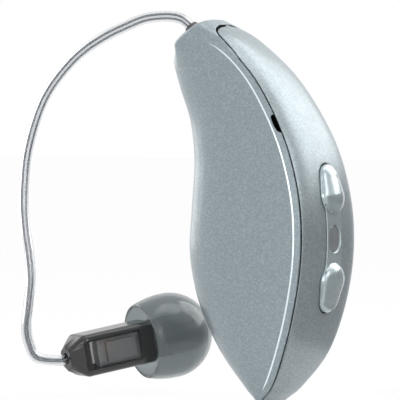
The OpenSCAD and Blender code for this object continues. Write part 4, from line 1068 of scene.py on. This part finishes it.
def revolved(profile, origin, way, n=96, closed=True):
    """A profile [along, radius] carried round a line from origin; closed joins its last point to the first."""
    way = unit(np.asarray(way, float))
    side = unit(np.cross(way, ASIDE))
    p = np.asarray(profile, float)
    if closed:
        p = np.vstack([p, p[:1]])
    about = circle(n) @ np.stack([side, np.cross(way, side)])
    return ring_mesh(origin + way * p[:, 0, None, None] + about * p[:, 1, None, None])


class ReceiverAxis:
    """Where the receiver lies: its origin, its direction, and its directions across and up."""

    origin = np.array([-14.3, -0.9, -18.4])
    pitch, yaw = math.radians(10.3), math.radians(60.5)

    def __init__(self):
        p, y = self.pitch, self.yaw
        self.way = np.array([math.cos(p) * math.cos(y), math.cos(p) * math.sin(y), math.sin(p)])
        self.across = np.array([-math.sin(y), math.cos(y), 0])
        self.up = np.cross(self.way, self.across)
        self.up *= np.sign(self.up[2])

    def at(self, s):
        return self.origin + self.way * s


def plug_way(up):
    """The direction in which the lead leaves the plug, 12 degrees off the nose's own."""
    tilt = math.atan2(up[2], up[0]) + math.radians(12)
    return np.array([math.cos(tilt), 0, math.sin(tilt)])


def lead_line(form, n):
    """Places and directions along the lead at n even shares of its stations, and its length up to each."""
    up, mid, _ = nose_axes(form)
    plug, axis = plug_way(up), ReceiverAxis()
    start = mid + up * sizes("aid_lead").flange + plug * 0.5
    rows = np.vstack([start, start + plug * 0.3, LEAD_ROUTE, axis.at(-0.7), axis.at(0.8)])
    t = np.linspace(0, len(rows) - 1, n)
    p = along_rows(rows, t)
    way = along_rows(rows, t + 0.05) - along_rows(rows, t - 0.05)
    way[0], way[-1] = plug, axis.way
    return p, unit(way), np.concatenate([[0], np.cumsum(np.linalg.norm(np.diff(p, axis=0), axis=1))])


def swept(p, way, radius, n, offset=(0, 0)):
    """Rings of a tube about the line p, moved aside by offset."""
    a = unit(np.cross(way, ASIDE))
    sides = np.stack([a, np.cross(way, a)], 1)
    ring = circle(n) * radius + np.broadcast_to(offset, (len(p), 2))[:, None]
    return p[:, None] + ring @ sides


def tube_mesh(p, way, r_out, r_in, n):
    """A tube with a bore: the outer rings, back along the inner rings, closed at both ends."""
    outer, inner = swept(p, way, r_out, n), swept(p, way, r_in, n)
    return ring_mesh(np.concatenate([outer, inner[::-1], outer[:1]]))


def rod_mesh(p, way, radius, n, offset):
    """A round wire whose ends are closed at their middles."""
    rings = swept(p, way, radius, n, offset)
    ends = [0 * ring + ring.mean(0) for ring in rings[[0, -1]]]
    return ring_mesh([ends[0], *rings, ends[1]])


class AID_OT_lead(bpy.types.Operator):
    """Builds the clear tube of the lead and the pair of wires in it"""

    bl_idname = "aid.lead"
    bl_label = "Build Lead"

    def execute(self, context):
        form, k = BodyForm(), sizes("aid_lead")
        p, way, _ = lead_line(form, 420)
        put_mesh("lead_tubing", *tube_mesh(p, way, k.tube / 2, k.bore / 2, 32), "tube", "receiver_unit",
                 "lead_clear", "lead_tube")
        p, way, length_to = lead_line(form, 900)
        turn = -2 * math.pi * length_to / k.pitch
        aside = (k.bore / 2 - k.wire / 2 - 0.02) * np.stack([np.cos(turn), np.sin(turn)], 1)
        wires = joined(*(rod_mesh(p, way, k.wire / 2, 12, offset) for offset in (aside, -aside)))
        put_mesh("lead_pair", *wires, "wire", "receiver_unit", "lead_wire", "lead_wires")
        return {"FINISHED"}


class AID_OT_plug(bpy.types.Operator):
    """Builds the plug: its flange over the nose, the nub of the lead and the stem with its rings"""

    bl_idname = "aid.plug"
    bl_label = "Build Plug"
    forward = 0.55

    def execute(self, context):
        form, k = BodyForm(), sizes("aid_lead")
        up, mid, side = nose_axes(form)
        f, nose = form.at(LAST), form.s.nose_round
        half = np.array([(f.chord / 2 - nose) * 0.9, (f.half - nose) * 0.68])
        about, wide, plug = circle(96), np.array([0, 1.0, 0]), plug_way(up)
        plug_side = np.array([-plug[2], 0, plug[0]])
        plug_side *= np.sign(plug_side @ side)
        loop = (np.sign(about) * np.abs(about)**0.9 * half + [self.forward, 0]) @ np.stack([side, wide])
        round_loop = about @ np.stack([plug_side, wide])
        flange = [(0, 0), (0.97, 0), (1, 0.05), (1, k.flange * 0.55), (0.97, k.flange * 0.8),
                  (0.86, k.flange * 0.97), (0.72, k.flange)]
        nub = [(0.86, 0.03), (0.76, 0.1), (0.72, 0.2), (0.7, 0.42), (0.66, 0.49), (0.6, 0.5), (0.535, 0.5),
               (0.53, 0.3), (0, 0.3)]
        rows = [mid + up * h + loop * share for share, h in flange]
        rows += [mid + up * k.flange + plug * h + round_loop * r for r, h in nub]
        r, ring = k.stem / 2, 0.06
        profile = [(0, 0), (0, r)]
        for at in (0.95, 1.95, 2.95):
            profile += [(at - 0.04, r), (at, r - ring), (at + 0.1, r - ring), (at + 0.14, r)]
        profile += [(3.4, r), (3.54, r - ring), (3.6, r - 0.2), (3.6, 0)]
        stem = revolved(np.array(profile) * [-1, 1], mid, up, 64, closed=False)
        put_mesh("plug_collar", *joined(ring_mesh(rows), stem), "plug", "receiver_unit", "plug_plastic",
                 "lead_plug")
        return {"FINISHED"}


def box_ring(half_h, half_w, corner, n):
    """Points [across, up] of a rounded rectangle, n at even angles from its middle.

    On a corner, the ray from the middle meets the circle about the corner's own middle.
    """
    d, half = circle(n), np.array([half_w, half_h])
    flat = d / (np.abs(d) / half).max(1, keepdims=True)
    mid = (half - corner) * np.sign(d)
    b = (d * mid).sum(1, keepdims=True)
    root = np.sqrt(np.clip(b * b - (mid**2).sum(1, keepdims=True) + corner**2, 0, None))
    return np.where((np.abs(flat) > half - corner).all(1, keepdims=True), d * (b + root), flat)


class AID_OT_receiver(bpy.types.Operator):
    """Builds the receiver's smoked housing, the motor's can in it and its dark collar"""

    bl_idname = "aid.receiver"
    bl_label = "Build Receiver"

    def execute(self, context):
        k, axis, n = sizes("aid_receiver"), ReceiverAxis(), 96

        def ring(s, shape):
            return axis.at(s) + shape @ np.stack([axis.across, axis.up])

        full, inner = (box_ring(k.height / 2 - deep, k.width / 2 - deep, 0.6 - deep, n) for deep in (0, k.wall))
        a = np.linspace(0, 2 * math.pi, n, endpoint=False)
        hexagon = 1 / np.cos((a + math.pi / 6) % (math.pi / 3) - math.pi / 6)
        neck, hole = circle(n) * (hexagon * k.height / 4)[:, None], circle(n) * 0.53
        rows = [ring(s, hole * size) for s, size in ((1.05, 0), (0.9, 1), (0.05, 1), (0, 1.06))]
        rows += [ring(0, neck * 0.96)]
        cone = ((0.06, 0.03), (0.5, 0.64), (0.9, 1.24), (1.0, 1.5))
        rows += [ring(s, neck * (1 - u) + full * u) for u, s in cone]
        rows += [ring(s, full) for s in (1.8, 3, 5, 7, k.length - 0.05)] + [ring(k.length, full * 0.985)]
        inner_row = len(rows)
        rows += [ring(s, inner) for s in (k.length, k.length - 0.3, 7, 5, 3, 1.9)]
        rows += [ring(1.35, neck * 0.6), ring(1.3, neck * 0)]
        points, faces = ring_mesh(rows)
        row = np.minimum(faces.min(1) // n, len(rows) - 2)
        middle = points[faces].mean(1) - axis.origin
        # Painted shade: the faces near the top and the bottom take the dark finish as shade; the ends at the
        # neck and at the collar are really dark plastic.
        along, high = middle @ axis.way, np.abs(middle @ axis.up) > 1.3
        dark = high | ((row >= inner_row) & (along < 1.95)) | (along > 7.4) | (along < 1.0)
        put_mesh("receiver_shell", points, faces, "smoke smoke_dark", "receiver_unit", "receiver_smoke",
                 "receiver_housing", dark.astype(int), flat=(row >= 3) & (row < 8))
        box = box_ring(1.35, 1.0, 0.12, n)
        points, faces = ring_mesh([ring(s, box * [w, h]) for s, w, h in (
            (2.6, 0, 0), (2.6, 0.62, 0.7), (2.78, 0.98, 1.0), (3.3, 1, 1), (7.0, 1, 1), (7.42, 0.98, 1.0),
            (7.6, 0.7, 0.8), (7.6, 0, 0))])
        put_mesh("motor_can", points, faces, "motor", "receiver_unit", "motor_steel", "receiver_motor",
                 flat=np.ones(len(faces), bool))
        collar = rounded_profile([(0.5, 1.32), (0.5, 1.9), (1.1, 1.9), (1.1, 1.32)], [0.04, 0.1, 0.1, 0.04])
        put_mesh("receiver_ring", *revolved(collar, axis.at(k.length), axis.way), "black", "receiver_unit",
                 "collar_black", "receiver_collar")
        return {"FINISHED"}


def dome_profile(k, grow, n=40):
    """The dome's outline [along, radius]: a ball's side that turns in towards the open rim and the outlet."""
    r, tip = k.dome / 2 - grow, DOME_TIP
    mid, start = tip - k.dome / 2, tip - k.dome_length
    rim = math.radians(29)
    back = (mid - start) / math.sin(rim)
    a = np.linspace(-rim, math.radians(76), n)
    return np.stack([mid + np.where(a < 0, back, r) * np.sin(a), r * np.cos(a)], 1)


class AID_OT_dome(bpy.types.Operator):
    """Builds the soft dome: a thin skirt round a sleeve that grips the spout"""

    bl_idname = "aid.dome"
    bl_label = "Build Dome"

    def execute(self, context):
        k, axis, tip = sizes("aid_receiver"), ReceiverAxis(), DOME_TIP
        outside, inside = dome_profile(k, 0), dome_profile(k, k.skin)[:-3]
        rim = (outside[0] + inside[0]) / 2 - [0.09, 0]
        mouth, grip = 0.9, 1.33
        front = rounded_profile([(tip - 0.12, mouth + 0.35), (tip, mouth + 0.12), (tip - 0.12, mouth)],
                                [0.05, 0.08, 0.05], 4)
        sleeve = [[5.55, mouth], [5.55, grip], [1.15, grip], [1.15, grip + 0.48], [1.22, grip + 0.55],
                  [tip - 1.5, grip + 0.55]]
        profile = np.vstack([rim, outside, front, sleeve, inside[::-1]])
        put_mesh("soft_dome", *revolved(profile, axis.at(k.length), axis.way, 128), "dome", "dome",
                 "dome_silicone", "ear_dome")
        return {"FINISHED"}


# ---------------------------------------------------------------- the stage

AZIMUTH, ELEVATION, DISTANCE = math.radians(33.7), math.radians(1.4), 420.0
TARGET = np.array([0.0, 0.0, -3.52])
# Pixels to a millimetre at the target, pixels across the picture, and the camera's sensor in millimetres
PIXELS_TO_MM, PICTURE, SENSOR = 11, 400, 36
# Soft lamps: name, place in millimetres, width, height, power
LAMPS = (
    ("Key softbox", (100, 170, 150), 200, 250, 0.45),
    ("Top softbox", (40, 20, 260), 150, 150, 0.14),
    ("Left softbox", (-240, 40, 60), 160, 160, 0.10),
    ("Crease strip", (30, -258, 10), 60, 220, 0.14),
    ("Key strip", (187, -187, 70), 26, 120, 0.05),
    ("Bump softbox", (200, -75, 112), 100, 120, 0.10),
)


class AID_OT_stage(bpy.types.Operator):
    """Sets up the camera, the soft lamps, the white surroundings and the pale floor"""

    bl_idname = "aid.stage"
    bl_label = "Set Up Stage"

    def execute(self, context):
        scene = context.scene
        scene.view_settings.view_transform = "Standard"
        self.camera(scene)
        for lamp in LAMPS:
            self.lamp(scene, *lamp)
        self.card(scene)
        self.world(scene)
        self.floor(scene)
        return {"FINISHED"}

    def camera(self, scene):
        """The camera on the outer side, turned towards the spine, looks at the body's middle."""
        back = np.array([math.sin(AZIMUTH) * math.cos(ELEVATION), -math.cos(AZIMUTH) * math.cos(ELEVATION),
                         math.sin(ELEVATION)])
        camera = bpy.data.objects.new("Camera", bpy.data.cameras.new("Camera"))
        camera.data.sensor_width = SENSOR
        camera.data.lens = SENSOR * DISTANCE * PIXELS_TO_MM / PICTURE
        camera.data.clip_start, camera.data.clip_end = 0.02, 5
        camera.location = (TARGET + back * DISTANCE) * MM
        camera.rotation_euler = Vector(-back).to_track_quat("-Z", "Y").to_euler()
        scene.collection.objects.link(camera)
        scene.camera = camera

    def lamp(self, scene, name, place, wide, high, power):
        """A soft lamp that is turned to the middle of the body."""
        lamp = bpy.data.objects.new(name, bpy.data.lights.new(name, "AREA"))
        lamp.data.shape = "RECTANGLE"
        lamp.data.size, lamp.data.size_y = wide * MM, high * MM
        lamp.data.energy = power
        lamp.location = np.array(place) * MM
        way = Vector((0, 0, -0.004)) - lamp.location
        lamp.rotation_euler = way.to_track_quat("-Z", "Y").to_euler()
        scene.collection.objects.link(lamp)

    def card(self, scene):
        """A dark card beside the spine keeps its lower half and the bumps from being flooded with white."""
        card = bpy.data.objects.new("Dark card", bpy.data.meshes.new("Dark card"))
        near, far, low, high = 19.0, 150.0, -21.0, 34.0
        a = np.radians(np.linspace(-78, 20, 13))[:, None]
        r, z = np.array([near, far, far]), np.array([low, low, high])
        points = np.stack([r * np.cos(a), -r * np.sin(a), z + 0 * a], -1).reshape(-1, 3) * MM
        card.data.from_pydata(points.tolist(), [], grid_faces(len(a), len(r)).tolist())
        card.data.materials.append(plastic("Card", grey(150), (0.7, 0.8)))
        card.visible_camera = card.visible_transmission = card.visible_shadow = False
        scene.collection.objects.link(card)

    def floor(self, scene):
        """A square floor just under the lowest point of the CAD model."""
        lowest, under, reach = min(v[2] for v in CAD_BOX), 0.05 * MM, 1.2
        x, y = np.meshgrid(*[np.linspace(-reach, reach, 9)] * 2, indexing="ij")
        points = np.stack([x, y, np.full_like(x, lowest - under)], -1).reshape(-1, 3)
        mesh = bpy.data.meshes.new("floor")
        mesh.from_pydata(points.tolist(), [], grid_faces(9, 9)[:, ::-1].tolist())
        mesh.materials.append(self.floor_finish())
        if mesh.polygons[0].normal.z < 0:
            mesh.flip_normals()
        floor = bpy.data.objects.new("floor", mesh)
        scene.collection.objects.link(floor)

    def world(self, scene):
        """White to the camera, in reflections and through glass, and a dim, slightly blue light otherwise."""
        world = bpy.data.worlds.new("White surroundings")
        scene.world = world
        world.use_nodes = True
        n, l = world.node_tree.nodes, world.node_tree.links
        n.clear()
        out, path = n.new("ShaderNodeOutputWorld"), n.new("ShaderNodeLightPath")
        seen, light = n.new("ShaderNodeBackground"), n.new("ShaderNodeBackground")
        seen.inputs["Color"].default_value = (1, 1, 1, 1)
        light.inputs["Color"].default_value = (0.97, 0.985, 1, 1)
        light.inputs["Strength"].default_value = 0.35
        mix = n.new("ShaderNodeMixShader")
        l.new(seen_by_camera(n, l, path), mix.inputs["Fac"])
        l.new(light.outputs[0], mix.inputs[1])
        l.new(seen.outputs[0], mix.inputs[2])
        l.new(mix.outputs[0], out.inputs["Surface"])

    def floor_finish(self):
        """A pale floor that shows nearly white to the camera and keeps the object's shadow."""
        mat, n, l, out = new_material("Pale floor")
        path = n.new("ShaderNodeLightPath")
        plain, white = n.new("ShaderNodeBsdfDiffuse"), n.new("ShaderNodeEmission")
        plain.inputs["Color"].default_value = colours().floor
        mix, share = n.new("ShaderNodeMixShader"), n.new("ShaderNodeMath")
        share.operation = "MULTIPLY"
        share.inputs[1].default_value = 0.97
        l.new(seen_by_camera(n, l, path), share.inputs[0])
        l.new(share.outputs[0], mix.inputs["Fac"])
        l.new(plain.outputs[0], mix.inputs[1])
        l.new(white.outputs[0], mix.inputs[2])
        l.new(mix.outputs[0], out.inputs["Surface"])
        return mat


def seen_by_camera(nodes, links, path):
    """1 for a ray from the camera, of a reflection or through glass, else 0."""
    total = None
    for name in ("Is Camera Ray", "Is Glossy Ray", "Is Transmission Ray"):
        if total is None:
            total = path.outputs[name]
            continue
        add = nodes.new("ShaderNodeMath")
        add.operation = "MAXIMUM"
        links.new(total, add.inputs[0])
        links.new(path.outputs[name], add.inputs[1])
        total = add.outputs[0]
    return total


class AID_PT_panel(bpy.types.Panel):
    """Lists the pieces in the sidebar"""

    bl_label = "Ear Aid"
    bl_idname = "AID_PT_panel"
    bl_space_type = "VIEW_3D"
    bl_region_type = "UI"
    bl_category = "Ear Aid"

    def draw(self, context):
        for operator in OPERATORS:
            self.layout.operator(operator.bl_idname)
        for name in GROUPS:
            box = self.layout.box()
            group = getattr(context.scene, name)
            for prop in group.bl_rna.properties:
                if prop.type == "FLOAT":
                    box.prop(group, prop.identifier)


GROUPS = {"aid_body": AidBodySizes, "aid_rocker": AidRockerSizes, "aid_lead": AidLeadSizes,
          "aid_receiver": AidReceiverSizes, "aid_colours": AidColours}
OPERATORS = (AID_OT_finishes, AID_OT_case_shell, AID_OT_cover_shell, AID_OT_rocker, AID_OT_lead, AID_OT_plug,
             AID_OT_receiver, AID_OT_dome, AID_OT_inner_parts, AID_OT_stage)


def register():
    for name, group in GROUPS.items():
        bpy.utils.register_class(group)
        setattr(bpy.types.Scene, name, PointerProperty(type=group))
    for cls in (*OPERATORS, AID_PT_panel):
        bpy.utils.register_class(cls)


def unregister():
    for cls in (AID_PT_panel, *reversed(OPERATORS)):
        bpy.utils.unregister_class(cls)
    for name, group in GROUPS.items():
        delattr(bpy.types.Scene, name)
        bpy.utils.unregister_class(group)


def main():
    register()
    for operator in OPERATORS:
        space, name = operator.bl_idname.split(".")
        getattr(getattr(bpy.ops, space), name)()


if __name__ == "__main__":
    main()
